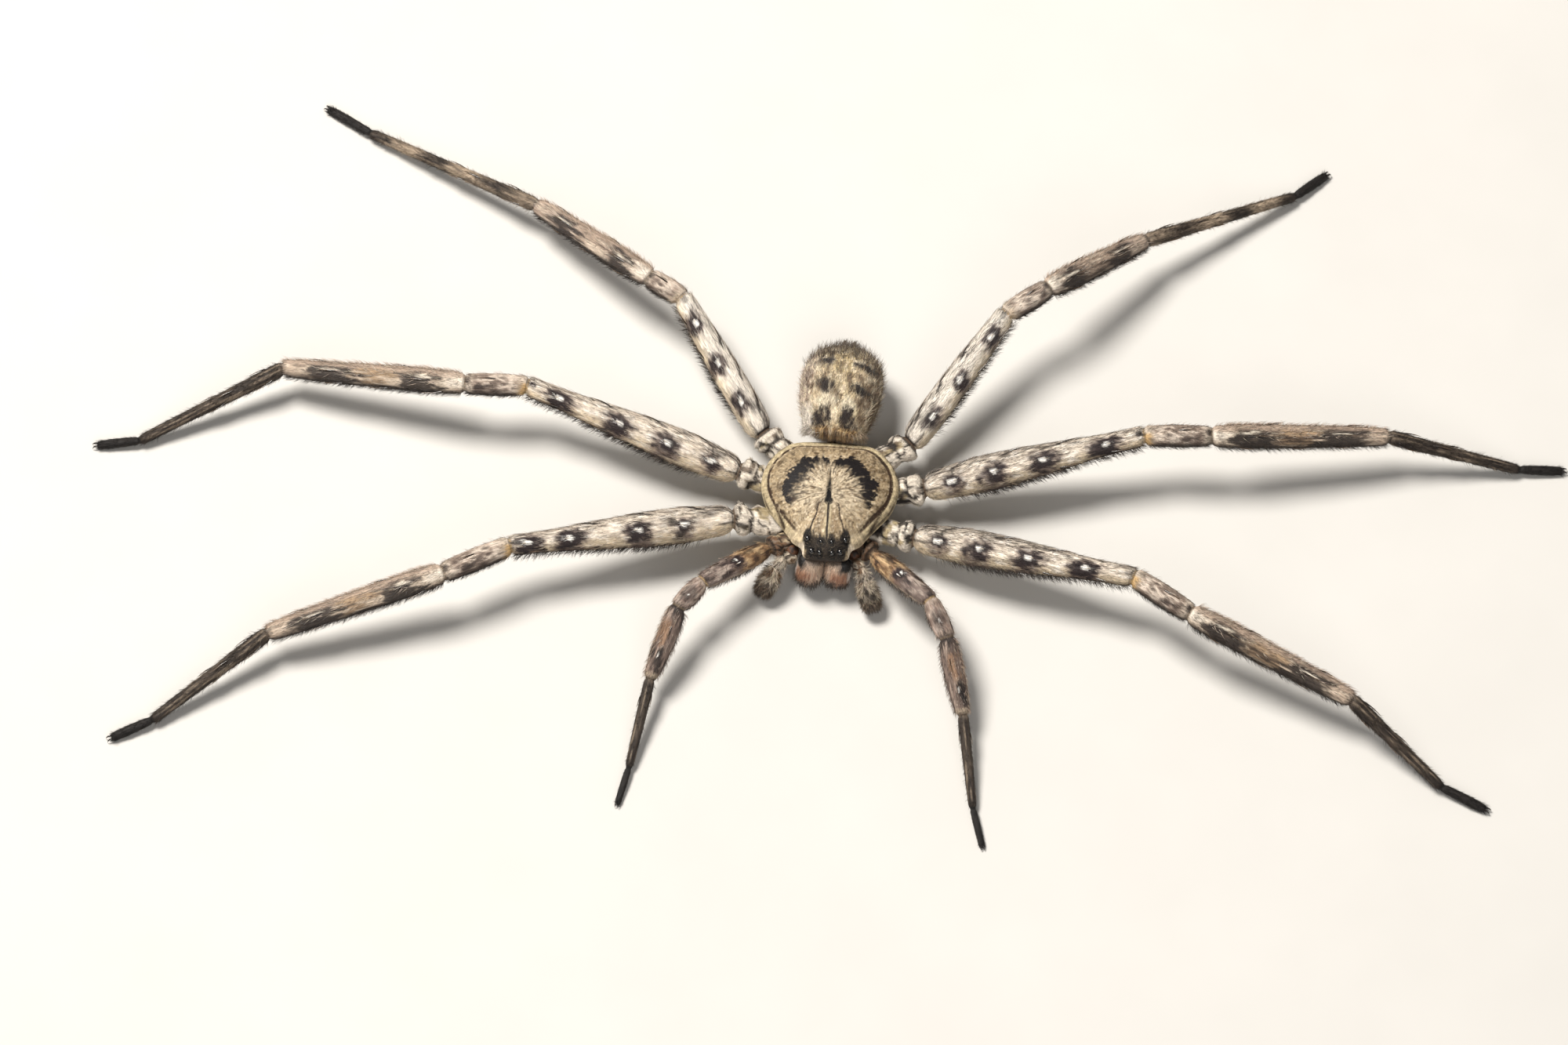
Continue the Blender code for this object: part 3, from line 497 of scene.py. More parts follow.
def short_femur_fur(own, t, deg):
    """The femur of the front leg: brown at the base, then mauve-grey with dark streaks."""
    mottle = noise(own, (1.1, 2.2, 2.2), 15) + 0.6 * noise(own, (2.4, 5, 5), 16)
    streaks = 0.6 * noise(own, (0.9, 4.5, 4.5), 14) + 0.6 * mottle
    brown = smooth(0.62, 0.42, t + 0.08 * mottle)
    outline = smooth(0.16, 0.05, np.abs(noise(own, (1.1, 2.2, 2.2), 87)))
    return layered(
        (124, 108, 100),
        ((152, 119, 84), 0.9 * brown),
        ((202, 172, 132), 0.85 * brown * smooth(0.0, 0.5, mottle)),
        ((62, 44, 35), 0.9 * brown * smooth(0.1, 0.6, -mottle)),
        ((66, 47, 35), 0.75 * brown * outline),
        ((188, 172, 160), 0.75 * (1 - brown) * smooth(0.1, 0.6, streaks)),
        ((50, 41, 40), 0.9 * (1 - brown) * smooth(0.05, 0.5, -streaks) * smooth(20, 50, deg)),
        (SPOT, 0.7 * plateau(t, 0.6, 0.68, 0.78, 0.86) * smooth(-0.1, 0.4, -mottle)),
        ((188, 170, 150), 0.7 * (smooth(22, 0, deg) + smooth(160, 185, deg)) * smooth(0.2, 0.4, t)))


def femur_spot(leg, index, along, up, ragged):
    """The layers of a dark spot, blurred towards the front edge, with a white fleck in it."""
    small = index == 0 and leg.pair in (2, 3)
    size = SPOT_SIZE[leg.pair] * (FIRST_SPOT_SMALLER if small else 1.0)
    half = 1.36 * size
    low = 1.45 * size
    high = 0.9 * size
    blur = 1.35 if leg.pair == 4 else 1.5
    if leg.pair == 1:
        up = up - 0.42
    edge = spot_shape(along, up, half, high, blur * low) + 1.5 * ragged
    core = spot_shape(along, up, half * 0.9, high * 0.85, low) + 1.9 * ragged
    fleck = oval(along - 0.05, up - 0.05, 0.36, 0.22) / (0.42 if leg.pair == 1 else 1.0) + 1.1 * ragged
    return ((SPOT_EDGE, 0.8 * smooth(1.35, 0.8, edge)),
            (SPOT, smooth(1.2, 0.75, core)),
            (WHITE_HAIR, smooth(1.2, 0.9, fleck)))


def paint_patella(leg, tube, t, v):
    own = tube.own(t, v)
    deg = round_degrees(v)
    mottle = noise(own, (1.3, 3.0, 3.0), 6) + 0.6 * noise(own, (2.8, 7, 7), 7)
    lines = noise(own, (0.5, 6, 6), 14)
    dusk = smooth(0.36, 0.2, np.abs(t - 0.52)) * smooth(110, 70, deg) * smooth(10, 40, deg)
    tint = layered(
        (166, 148, 134),
        ((98, 82, 72), 0.95 * smooth(-0.3, 0.3, mottle)),
        ((218, 203, 188), 0.85 * smooth(0.2, 0.6, -mottle + 0.3 * lines)),
        ((54, 44, 40), 0.8 * smooth(0.3, 0.75, mottle - 0.3 * lines)),
        ((74, 62, 57), 0.55 * dusk * smooth(-0.6, 0.3, mottle)),
        ((200, 180, 164), 0.5 * smooth(115, 140, deg + 15 * mottle)),
        (PALE_HAIR, 0.6 * smooth(0.2, 0.05, t) + 0.5 * smooth(0.84, 0.95, t)))
    if leg.pair == 1:
        centre = oval((t - 0.55) * tube.length, deg - 85, 0.8, 40) + 0.5 * mottle
        streaks = 0.7 * lines + 0.5 * mottle
        tint = layered(
            tint,
            ((134, 112, 102), 0.55),
            ((56, 46, 44), 0.9 * smooth(0.0, 0.45, streaks) * smooth(0.05, 0.3, t)),
            ((200, 182, 172), 0.7 * smooth(0.3, 0.7, -streaks)),
            ((52, 45, 43), 0.65 * smooth(1.3, 0.4, centre + 0.5 * lines)),
            ((214, 198, 184), 0.8 * smooth(0.3, 0.6, -lines) * (smooth(30, 5, deg) + smooth(150, 175, deg))),
            (WHITE_HAIR, smooth(1.1, 0.7, oval((t - 0.6) * tube.length, deg - 84, 0.13, 6))))
        return flecked(tint, own, 0.2, ALONG_HAIR)
    yellow = 0.2 if leg.pair == 4 else 0.8
    joint = oval(tube.length * (1 - t) - 0.1, deg - 92, 0.3, 24) + 0.2 * mottle
    tint = layered(
        tint,
        ((192, 154, 96), yellow * smooth(0.12, 0.04, t + 0.04 * mottle) * smooth(95, 70, deg)),
        # the lower front edge: dark hair and painted shade
        (DARK_HAIR, 0.85 * smooth(34, 4, deg + 22 * mottle) * smooth(-60, -20, deg) * smooth(0.0, 0.2, t)),
        ((84, 68, 54), 0.7 * smooth(140, 165, deg + 15 * mottle) * smooth(215, 190, deg)),
        ((84, 70, 60), 0.8 * smooth(0.4, 0.8, noise(own, (1.1, 2.2, 2.2), 8))),
        (SPOT, 0.9 * smooth(1.2, 0.6, joint)),
        (UNDER_HAIR, smooth(-20, -60, deg) + smooth(200, 235, deg)))
    return flecked(tint, own, 0.18, ALONG_HAIR)


def paint_tibia(leg, tube, t, v):
    """Two dark bands in front and on top, a white streak in each, and a pale strip along the rear edge."""
    own = tube.own(t, v)
    deg = round_degrees(v)
    hind = leg.pair == 4
    ragged = noise(own, (1.0, 4, 4), 9)
    mottle = noise(own, (0.8, 2.2, 2.2), 17)
    lines = noise(own, (0.45, 7, 7), 18)
    if leg.pair == 1:
        return flecked(paint_short_tibia(t, deg, ragged, mottle, lines), own, 0.2, ALONG_HAIR)
    warm = plateau(t, 0.3, 0.4, 0.58, 0.68) * (0.25 if hind else 0.85)
    dark = profile(HIND_TIBIA_BANDS if hind else TIBIA_BANDS,
                   np.clip(t + 0.05 * ragged + 0.04 * mottle + 0.07 * lines, 0, 1))
    light = smooth(0.2, 0.6, noise(own, (0.7, 8, 8), 82)) * smooth(35, 70, deg)
    strip_from = 102 if hind else 88
    strip = smooth(strip_from, strip_from + 24, deg + 16 * mottle) * smooth(225, 205, deg)
    streaks = [oval((t - middle) * tube.length, deg - 82 + 6 * ragged, 1.1, 6) for middle in (0.21, 0.74)]
    tint = layered(
        (166, 148, 134) if hind else (188, 171, 152),
        ((146, 120, 92), warm),
        (PINK_HAIR, 0.5 * smooth(0.86, 0.92, t)),
        ((212, 195, 176), 0.75 * smooth(0.2, 0.5, -lines + 0.3 * ragged)),
        ((230, 220, 206), 0.8 * smooth(0.13, 0.03, t + 0.04 * lines) * smooth(20, 60, deg)),
        ((72, 58, 48), 0.9 * smooth(0.05, 0.45, lines + 0.3 * mottle) * plateau(t, 0.03, 0.16, 0.85, 0.97)),
        ((46, 37, 33), smooth(0.15, 0.8, dark + 0.3 * ragged + 0.25 * lines) * 0.95),
        ((150, 130, 112), 0.55 * light * dark),
        (PINK_HAIR, strip * (0.85 - 0.35 * smooth(0.0, 0.6, ragged))),
        *[((226, 216, 200), 0.95 * smooth(1.1, 0.5, streak)) for streak in streaks],
        # the lower front edge: dark hair and painted shade
        ((58, 48, 41), 0.8 * smooth(32, 4, deg + 10 * ragged) * smooth(-70, -30, deg)),
        (UNDER_HAIR, 0.6 * (smooth(-30, -70, deg) + smooth(205, 240, deg))))
    return flecked(tint, own, 0.18, ALONG_HAIR)


def paint_short_tibia(t, deg, ragged, mottle, lines):
    """The tibia of the front leg: dark base, brown middle, black towards the end with a white dash."""
    brown = smooth(0.14, 0.28, t) * smooth(0.6, 0.5, t + 0.06 * ragged) * smooth(55, 80, deg + 20 * mottle)
    brown = brown * smooth(215, 195, deg) * smooth(-0.2, 0.35, -lines + 0.6 * mottle)
    black = smooth(0.54, 0.62, t + 0.05 * ragged) * smooth(0.9, 0.8, t) * smooth(60, 85, deg + 25 * mottle)
    return layered(
        (118, 101, 92),
        ((56, 47, 43), smooth(0.2, 0.05, t - 0.1 * ragged)),
        ((176, 156, 143), 0.7 * smooth(0.15, 0.5, -lines + 0.3 * mottle)),
        ((50, 41, 38), 0.9 * smooth(0.0, 0.4, lines + 0.3 * ragged)),
        ((140, 108, 82), 0.8 * brown),
        ((36, 30, 28), 0.9 * black * smooth(-0.7, -0.1, lines + 0.5 * ragged)),
        ((190, 172, 148), 0.7 * smooth(0.93, 0.97, t)),
        (WHITE_HAIR, smooth(1.1, 0.6, oval(t - 0.7, deg - 92, 0.045, 5))))


def paint_metatarsus(leg, tube, t, v):
    own = tube.own(t, v)
    hind = leg.pair == 4
    ragged = noise(own, (1.0, 6, 6), 10)
    dark = profile(HIND_FOOT_BANDS if hind else FOOT_BANDS, np.clip(t + 0.02 * ragged, 0, 1))
    lines = smooth(0.25, 0.55, noise(own, (0.35, 7, 7), 19)) * smooth(1.0, 0.85, t)
    tint = layered(
        (164, 146, 126) if hind else FOOT_GREY,
        (FOOT_HAIR, dark + 0.25 * ragged),
        ((146, 130, 112), 0.7 * lines),
        (FOOT_HAIR, 0.6 * smooth(0.1, 0.5, noise(own, (0.9, 5, 5), 85))))
    return flecked(tint, own, 0.2, ALONG_HAIR)


def paint_tarsus(_, tube, t, v):
    own = tube.own(t, v)
    sole = smooth(0.45, 0.75, noise(own, (0.5, 8, 8), 12)) * smooth(0.9, 0.6, t)
    return layered((30, 24, 21), (BLACK, 0.5 + 0.5 * noise(own, (1, 6, 6), 11)), ((120, 106, 92), 0.4 * sole))


def paint_coxa(leg, tube, t, v):
    own = tube.own(t, v)
    deg = round_degrees(v)
    ring = drum(t * tube.length, v) + tube.start
    patch = noise(ring, 1.5, 12 + leg.pair)
    grit = noise(own, (5, 8, 8), 13)
    base, stain = (KNOB_BROWN, (206, 184, 150)) if leg.pair == 1 else (KNOB, KNOB_OLIVE)
    crease = smooth(0.045, 0.01, np.abs(t - COXA_RING - 0.03 * patch))
    tint = layered(
        base,
        (stain, smooth(0.42, 0.6, patch) * smooth(-30, 20, deg)),
        (GREY_HAIR, 0.5 * smooth(0.0, 0.7, grit)),
        ((84, 66, 50), 0.85 * smooth(0.2, 0.45, noise(ring, 2.2, 48)) * smooth(0, 40, deg)),
        ((34, 27, 23), 0.9 * smooth(0.5, 0.7, noise(ring, 1.7, 83)) * smooth(0, 40, deg)),
        ((30, 24, 20), folds(ring)),
        (FOLD_DARK, crease * smooth(-0.6, 0.1, grit)),
        (FOLD_DARK, (0.9 if leg.pair in (1, 4) else 0.4) * smooth(0.965, 0.99, t)),
        ((150, 134, 108), 0.7 * (smooth(-10, -60, deg) + smooth(190, 240, deg))))
    return flecked(tint, own, 0.15)


PAINT = {"coxa": paint_coxa, "femur": paint_femur, "patella": paint_patella, "tibia": paint_tibia,
         "metatarsus": paint_metatarsus, "tarsus": paint_tarsus}


def leg_patches(leg):
    """The tube and the patch of each segment of a leg, from the coxa to the foot."""
    points = [mirrored(COXA_INNER[leg.pair], leg.side), *leg_joints(leg)]
    ways = [end - start for start, end in zip(points, points[1:])]
    widths = SHORT_LEG_HALF_WIDTH if leg.pair == 1 else LONG_LEG_HALF_WIDTH
    whole = sum(np.linalg.norm(way) for way in ways)
    parts = {}
    reached = 0.0
    for i, segment in enumerate(("coxa", *SEGMENTS)):
        lumps = 0.0
        if segment == "coxa":
            lumps = COXA_LUMPS
            half_width = curve(COXA_SHAPE, COXA_HALF_WIDTH[leg.pair])
            half_height = curve(COXA_SHAPE, COXA_HALF_HEIGHT[leg.pair])
        else:
            rows = HIND_FEMUR_HALF_WIDTH if leg.pair == 4 and segment == "femur" else widths[segment]
            half_width = curve(rows)
            half_height = curve(rows, FLATNESS[segment])
        tube = Tube(points[i], points[i + 1], half_width, half_height,
                    before=ways[i - 1] if i else None, after=ways[i + 1] if i < 5 else None,
                    front=1 if leg.side == "r" else -1, lumps=lumps,
                    round_start=FEMUR_ROUND_START if segment == "femur" else Tube.ROUND_END)
        share = tube.length / whole

        def paint(u, v, segment=segment, tube=tube):
            return PAINT[segment](leg, tube, u, v)
        rings = max(10, int(tube.length / RING_STEP))
        parts[segment] = (tube, tube.patch(paint, rings, (reached, reached + share)))
        reached += share
    return parts


# ---- carapace ----

CARAPACE_LENGTH = CARAPACE_REAR - CARAPACE_FRONT
CARAPACE_ROUND_END = (0.35, 0.8)
UPPER_SHARE = 0.8
LOWER_SHARE = 0.2
FOVEA_REAR = 2.0
FOVEA_FRONT = -0.95
HEAD_GROOVE = ((0.35, -0.8), (0.88, -1.1), (1.0, -2.0), (1.3, -2.9), (1.6, -3.75))
RIM_WIDTH = 0.68
# half the width of the fovea's black spindle along y, with a blob at its front end
SPINDLE = ((-1.25, 0.05), (-1.1, 0.3), (-0.85, 0.36), (-0.62, 0.33), (-0.5, 0.2), (0.1, 0.2), (1.2, 0.09),
           (2.3, 0.02))
# fine dark creases across the pale middle, on both sides
SIDE_CREASES = (((0.7, 0.25), (1.5, 0.5)), ((1.5, 0.5), (2.1, 0.35)), ((0.5, -0.2), (1.2, -0.25)))
# turn from the rear about the carapace's middle, inner and outer radius of each crescent
CRESCENT_LEFT = ((0, 2.5, 3.3), (5, 2.55, 3.75), (16, 2.6, 4.2), (24, 2.6, 4.15), (31, 2.5, 4.5),
                 (39, 2.4, 4.15), (48, 2.35, 4.4), (54, 2.35, 4.2), (60, 2.35, 4.45), (69, 2.4, 4.15),
                 (76, 2.45, 4.35), (84, 2.5, 4.25), (93, 2.6, 4.05), (101, 2.75, 3.8), (109, 2.9, 3.5),
                 (120, 3.2, 3.3))
CRESCENT_RIGHT = ((0, 2.5, 3.3), (5, 2.5, 3.7), (12, 2.4, 4.1), (18, 2.35, 4.0), (24, 2.35, 4.3),
                  (32, 2.3, 4.1), (40, 2.3, 4.35), (47, 2.35, 4.1), (56, 2.4, 4.35), (62, 2.4, 4.15),
                  (70, 2.35, 4.4), (79, 2.35, 4.15), (88, 2.45, 4.25), (97, 2.6, 4.0), (105, 2.8, 3.75),
                  (112, 3.0, 3.4), (120, 3.3, 3.3))


def carapace_place(u, v):
    """u runs from front to rear, v round it: first over the upper face, then back along the underside."""
    y = CARAPACE_FRONT + u * CARAPACE_LENGTH
    v = v % 1.0
    upper = v < UPPER_SHARE
    angle = np.where(upper, v / UPPER_SHARE * math.pi, math.pi + (v - UPPER_SHARE) / LOWER_SHARE * math.pi)
    edge = rounding(np.minimum(u, 1 - u) * CARAPACE_LENGTH, *CARAPACE_ROUND_END)
    margin = profile(CARAPACE_MARGIN, y)
    rise = profile(CARAPACE_CREST, y) - margin
    x = edge * (profile(CARAPACE_HALF_WIDTH, y) - COAT_DEPTH / 2) * np.cos(angle)
    height = np.sin(angle)
    dome = margin + edge * rise * np.abs(height) ** CARAPACE_ROUND - COAT_DEPTH / 2
    z = np.where(height > 0, dome + np.where(upper, carapace_relief(x, y), 0),
                 margin - COAT_DEPTH / 2 + CARAPACE_UNDERSIDE * height)
    return np.stack((x, y, z), axis=-1)


def margin_distance(x, y):
    """How far a place on the plan lies inside the carapace's outline."""
    ys = np.linspace(CARAPACE_FRONT, CARAPACE_REAR, 160)
    side = profile(CARAPACE_HALF_WIDTH, ys)
    rear = np.linspace(0, side[-1], 24)
    outline_x = np.concatenate((side, rear))
    outline_y = np.concatenate((ys, np.full(len(rear), CARAPACE_REAR)))
    nearest = np.full(len(x), 99.0)
    for ox, oy in zip(outline_x, outline_y):
        nearest = np.minimum(nearest, (np.abs(x) - ox) ** 2 + (y - oy) ** 2)
    return np.sqrt(nearest)


def groove(x, y, start, end, width):
    """1 on a straight stroke from start to end, on both sides of the body, falling to 0 at width from it."""
    ax, ay = start
    dx = end[0] - ax
    dy = end[1] - ay
    s = np.clip(((np.abs(x) - ax) * dx + (y - ay) * dy) / (dx * dx + dy * dy), 0, 1)
    return smooth(width, 0.0, np.hypot(np.abs(x) - ax - s * dx, y - ay - s * dy))


def head_lines(x, y, width):
    return np.max([groove(x, y, a, b, width) for a, b in zip(HEAD_GROOVE, HEAD_GROOVE[1:])], axis=0)


def carapace_relief(x, y):
    """How far grooves and swellings move the carapace's upper face."""
    e = margin_distance(x, y)
    theta = np.arctan2(y, np.abs(x) + 1e-6)
    fovea = groove(x, y, (0.0, FOVEA_FRONT), (0.0, FOVEA_REAR), 0.32)
    radial = (np.cos(7 * theta) * smooth(0.6, 2.0, np.hypot(x, y)) * smooth(0.5, 1.5, e)
              * smooth(-3.2, -1.5, y))
    rim = smooth(0.55, 0.3, e) * smooth(0.0, 0.2, e)
    gutter = smooth(0.35, 0.0, np.abs(e - 0.72))
    head = smooth(0.5, 0.0, np.abs(x) - 1.3) * smooth(-0.8, -2.2, y)
    return (-0.26 * fovea - 0.1 * head_lines(x, y, 0.3) + 0.035 * radial + 0.05 * rim - 0.05 * gutter
            + 0.04 * head) * smooth(0.0, 0.25, e)


def crescent(x, y, fine):
    """How black a crescent is: lobed outside, feathered by pale hairs inside, open at the midline."""
    r = np.hypot(x, y)
    turn = np.degrees(np.arctan2(np.abs(x), y))
    left, right = (np.array(rows, float).T for rows in (CRESCENT_LEFT, CRESCENT_RIGHT))
    inner, outer = (np.where(x < 0, np.interp(turn, left[0], left[k]), np.interp(turn, right[0], right[k]))
                    for k in (1, 2))
    place = np.stack((x, y, 0 * x), 1)
    lumpy = 0.24 * noise(place, 2.4, 62) + 0.2 * noise(place, 5.5, 63)
    feather = smooth(-0.25, 0.85, r - inner + 0.75 * fine + 0.5 * lumpy)
    edge = smooth(-0.03, 0.1, outer - r + 1.3 * lumpy + 0.14 * fine)
    return edge * feather * smooth(0.03, 0.12, np.abs(x) + 0.3 * lumpy) * smooth(118, 106, turn + 6 * fine)


def paint_carapace(u, v):
    p = carapace_place(u, v)
    x, y = p[:, 0], p[:, 1]
    e = margin_distance(x, y)
    angle = np.arctan2(x, y)
    spoke = fan(np.hypot(x, y) * 0.6, angle, 5)
    fine = noise(spoke, (1.3, 4.5, 4.5), 20)
    coarse = noise(spoke, (1.5, 1.4, 1.4), 21)
    blotch = noise(p, 1.1, 22) + 0.5 * noise(p, 2.6, 23)
    speck = noise(p, 7.0, 27)
    tint = layered(
        carapace_fur(p, e, angle, fine, blotch, speck),
        *midline(p, blotch),
        *carapace_margin(p, e, angle, coarse, speck),
        *carapace_front(p, blotch))
    return layered(flecked(tint, p, 0.24), (LINE, smooth(0.79, 0.81, v % 1.0)))


def carapace_fur(p, e, angle, fine, blotch, speck):
    """Tan fur, pale in the middle and dark outside, with the crescents, and rays and creases within them."""
    x, y = p[:, 0], p[:, 1]
    aside = np.abs(x)
    r = np.hypot(x, y)
    wisp = noise(fan(r * 1.6, angle, 6), (1.5, 3.6, 3.6), 65)
    inner = smooth(3.9, 2.3, r) * smooth(-2.8, -0.4, y)
    cheek = smooth(1.3, 2.0, aside) * smooth(-0.8, -2.0, y) * smooth(0.7, 1.0, e)
    arcs = smooth(0.3, 0.7, noise(np.stack((r * 1.6, angle * 1.1, 0 * r), 1), 1, 28))
    outside = smooth(4.0, 4.3, r) * smooth(0.8, 1.0, e)
    dark = crescent(x, y, 0.5 * fine + 0.8 * wisp)
    worn = smooth(0.35, 0.8, noise(p, (9, 4, 4), 64)) * smooth(3.4, 2.8, r)
    rays = smooth(0.2, 0.55, 0.6 * fine + 0.7 * wisp) * plateau(r, 1.3, 2.2, 2.5, 2.9) * smooth(-0.9, 0.1, y)
    faint = smooth(0.5, 0.0, np.abs(r - 3.1)) * plateau(y, -1.9, -1.2, -0.6, 0.1)
    return layered(
        TAN,
        (TAN_DEEP, 0.6 * smooth(0.0, 1.0, blotch) + 0.4 * smooth(0.1, 0.8, wisp)),
        (INNER_PALE, 0.9 * inner * (0.7 + 0.4 * wisp)),
        (TAN_DEEP * 0.7, 0.8 * inner * smooth(0.25, 0.6, -wisp)),
        (TAN_DEEP, 0.45 * smooth(1.3, 0.9, aside) * smooth(-0.8, -1.8, y)),
        (TAN_DEEP * 0.8, 0.7 * cheek * arcs),
        (TAN_DEEP * 0.6, 0.85 * outside * smooth(0.3, 0.7, fine)),
        ((142, 124, 96), 0.5 * outside),
        (TAN_DEEP * 0.5, 0.75 * outside * smooth(0.15, 0.5, noise(p, (2.2, 2.2, 1), 84))),
        (LINE, 0.6 * smooth(0.25, 0.65, speck)),
        (INNER_PALE, (0.75 - 0.45 * outside) * smooth(0.2, 0.6, -speck)),
        (CRESCENT, dark * (1 - 0.3 * worn)),
        (LINE, 0.7 * rays),
        (LINE, 0.75 * faint * smooth(-0.1, 0.4, fine)),
        *[(LINE, 0.7 * groove(x, y, start, end, 0.1)) for start, end in SIDE_CREASES])


def midline(p, blotch):
    """The layers of the pale head stripe with its dark line, the fovea and the wavy lines of the head."""
    x, y = p[:, 0], p[:, 1]
    aside = np.abs(x)
    wave = 0.02 * np.sin(y * 5) + 0.03 * noise(p, 2.0, 66)
    spindle = np.interp(y, *np.array(SPINDLE).T)
    stripe = smooth(0.5, 0.1, aside) * smooth(-0.9, -1.4, y) * smooth(-4.6, -4.2, y)
    lines = head_lines(x + np.sign(x) * wave, y, 0.13)
    return ((RIM, 0.6 * stripe),
            (LINE * 0.4, smooth(0.1, 0.5, groove(x + 0.4 * wave, y, (0.0, -1.0), (0.0, -4.3), 0.15))),
            (BLACK, smooth(0.05, -0.03, aside - spindle) * plateau(y, -1.3, -1.2, 2.1, 2.4)),
            (LINE * 0.6, smooth(0.35, 0.7, lines + 0.1 * blotch) * smooth(0.4, 0.9, aside)),
            (BLACK, groove(x, y, (1.45, -3.3), (1.7, -4.0), 0.16 + 0.2 * smooth(-3.2, -4.0, y))))


def carapace_margin(p, e, angle, coarse, speck):
    """The layers of a ticked dark ring inside a pale rim, thickened at the sides and drawn out in front."""
    x, y = p[:, 0], p[:, 1]
    right = x > 0
    side = smooth(2.0, 4.4, np.abs(x))
    behind = smooth(-3.7, -3.2, y)
    ring = smooth(0.13, 0.03, np.abs(e - RIM_WIDTH - 0.05 * coarse) - 0.03 * side - 0.07 * side * right)
    whole = smooth(-0.75, -0.25, noise(p, 3.2, 24) + 0.5 * right)
    teeth = smooth(0.0, 0.12, noise(np.stack((angle * 16, 0 * x, 0 * x), 1), 1, 29))
    ticks = teeth * smooth(0.98 + 0.2 * coarse, 0.82, e) * smooth(0.62, 0.7, e) * side * behind
    outline = smooth(0.08, 0.03, np.abs(e - 0.14)) * smooth(-4.9, -4.3, y) * smooth(-0.4, 0.3, coarse)
    return ((LINE, ring * behind * whole * (0.8 + 0.2 * side)),
            (LINE, 0.85 * ticks),
            (RIM, smooth(0.6, 0.48, e) * smooth(-5.2, -4.7, y) * (0.9 - 0.4 * smooth(0.2, 0.6, speck))),
            (LINE, 0.8 * outline),
            (LINE, groove(x, y, (4.6, -1.15), (3.75, -2.85), 0.22)))


def carapace_front(p, blotch):
    """The layers of the pale corners and the dark eye field."""
    x, y = p[:, 0], p[:, 1]
    aside = np.abs(x)
    corner = smooth(1.9, 2.2, aside) * smooth(-2.9, -3.7, y)
    return ((CHEEK, 0.8 * corner * (0.75 + 0.3 * blotch)),
            (EYE_FIELD, eye_field(x, y, 0.5 * eye_field_edge(p))),
            (BLACK, 0.95 * eye_rings(x, y)),
            ((228, 214, 192), smooth(1.88, 1.96, aside) * smooth(-4.3, -4.5, y)))


def eye_field_edge(p):
    return noise(p, (7, 2, 2), 26)


def eye_field(x, y, ragged):
    """1 over the dark hair round the eyes, with its rear corners drawn out to the rear side eyes."""
    rear = -4.15 + 0.6 * smooth(0.8, 1.7, np.abs(x)) + 1.1 * ragged
    wide = 1.72 + 0.28 * smooth(0.9, 0.2, np.abs(y + 4.15)) + 0.35 * ragged
    return smooth(0.3, -0.25, y - rear) * smooth(0.15, -0.12, np.abs(x) - wide)


def eye_rings(x, y):
    """1 close to any eye, and over the long black patch at each rear corner."""
    aside = np.abs(x)
    rings = [smooth(radius + 0.2, radius, np.hypot(aside - ex, y - ey)) for ex, ey, radius in EYES.values()]
    rings.append(smooth(1.15, 0.85, oval(aside - 1.68, y + 4.2, 0.4, 0.85)))
    return np.max(rings, axis=0)


def towards_fovea(u, points, along):
    """Hair on the carapace points up its slope, towards the fovea."""
    aim = np.stack((-points[:, 0], 0.4 - points[:, 1], 0 * u), 1)
    return unit(unit(aim) + 0.15 * along)


def carapace_grain(u, v):
    x, y, _ = carapace_place(u, v).T
    return fan(np.hypot(x, y), np.arctan2(x, y), 3)


CARAPACE = Patch(carapace_place, carapace_grain, paint_carapace, 170, towards_fovea)


# ---- abdomen ----

ABDOMEN_AXES = np.array(((math.cos(ABDOMEN_LEAN), math.sin(ABDOMEN_LEAN), 0.0),
                         (-math.sin(ABDOMEN_LEAN), math.cos(ABDOMEN_LEAN), 0.0), (0.0, 0.0, 1.0)))
ASIDE, BACK, _ = ABDOMEN_AXES
# middle, half sizes and strength of each spot, from the rear pair forwards, then paler patches
ABDOMEN_SPOTS = (
    ((-1.2, 6.6), (0.5, 0.4), 1.0), ((-2.0, 6.5), (0.45, 0.3), 0.7),
    ((1.8, 6.5), (0.6, 0.34), 1.0), ((2.6, 6.2), (0.6, 0.32), 0.9),
    ((-1.2, 4.0), (0.68, 0.66), 1.0), ((-2.0, 4.15), (0.35, 0.4), 0.7),
    ((1.5, 3.95), (0.55, 0.48), 1.0), ((2.3, 3.8), (0.6, 0.3), 0.9), ((3.0, 3.7), (0.5, 0.25), 0.6),
    ((-1.1, 0.95), (0.62, 1.05), 1.0), ((1.0, 0.8), (0.58, 1.2), 1.0),
    ((-1.8, 1.0), (0.45, 0.5), 0.8), ((1.75, 0.5), (0.3, 0.4), 0.8),
)
ABDOMEN_PATCHES = (((-1.0, 2.6), (0.85, 0.7)), ((0.9, 2.3), (0.8, 0.6)), ((-2.6, 1.3), (0.6, 0.9)))


def abdomen_own(u, v):
    """Points in the abdomen's own frame, Y along it."""
    edge = rounding(np.minimum(u / 0.055, (1 - u) / 0.09), 1, 0.06)
    top = profile(ABDOMEN_TOP, u)
    bottom = profile(ABDOMEN_BOTTOM, u)
    x = edge * (profile(ABDOMEN_HALF_WIDTH, u) - ABDOMEN_COAT_DEPTH) * np.cos(v * math.tau)
    z = (top + bottom) / 2 + edge * ((top - bottom) / 2 - ABDOMEN_COAT_DEPTH) * np.sin(v * math.tau)
    return np.stack((x, u * ABDOMEN_LENGTH, z), axis=-1)


def abdomen_place(u, v):
    return abdomen_own(u, v) @ ABDOMEN_AXES + ABDOMEN_START


def abdomen_grain(u, v):
    return abdomen_own(u, v)[:, (1, 0, 2)]


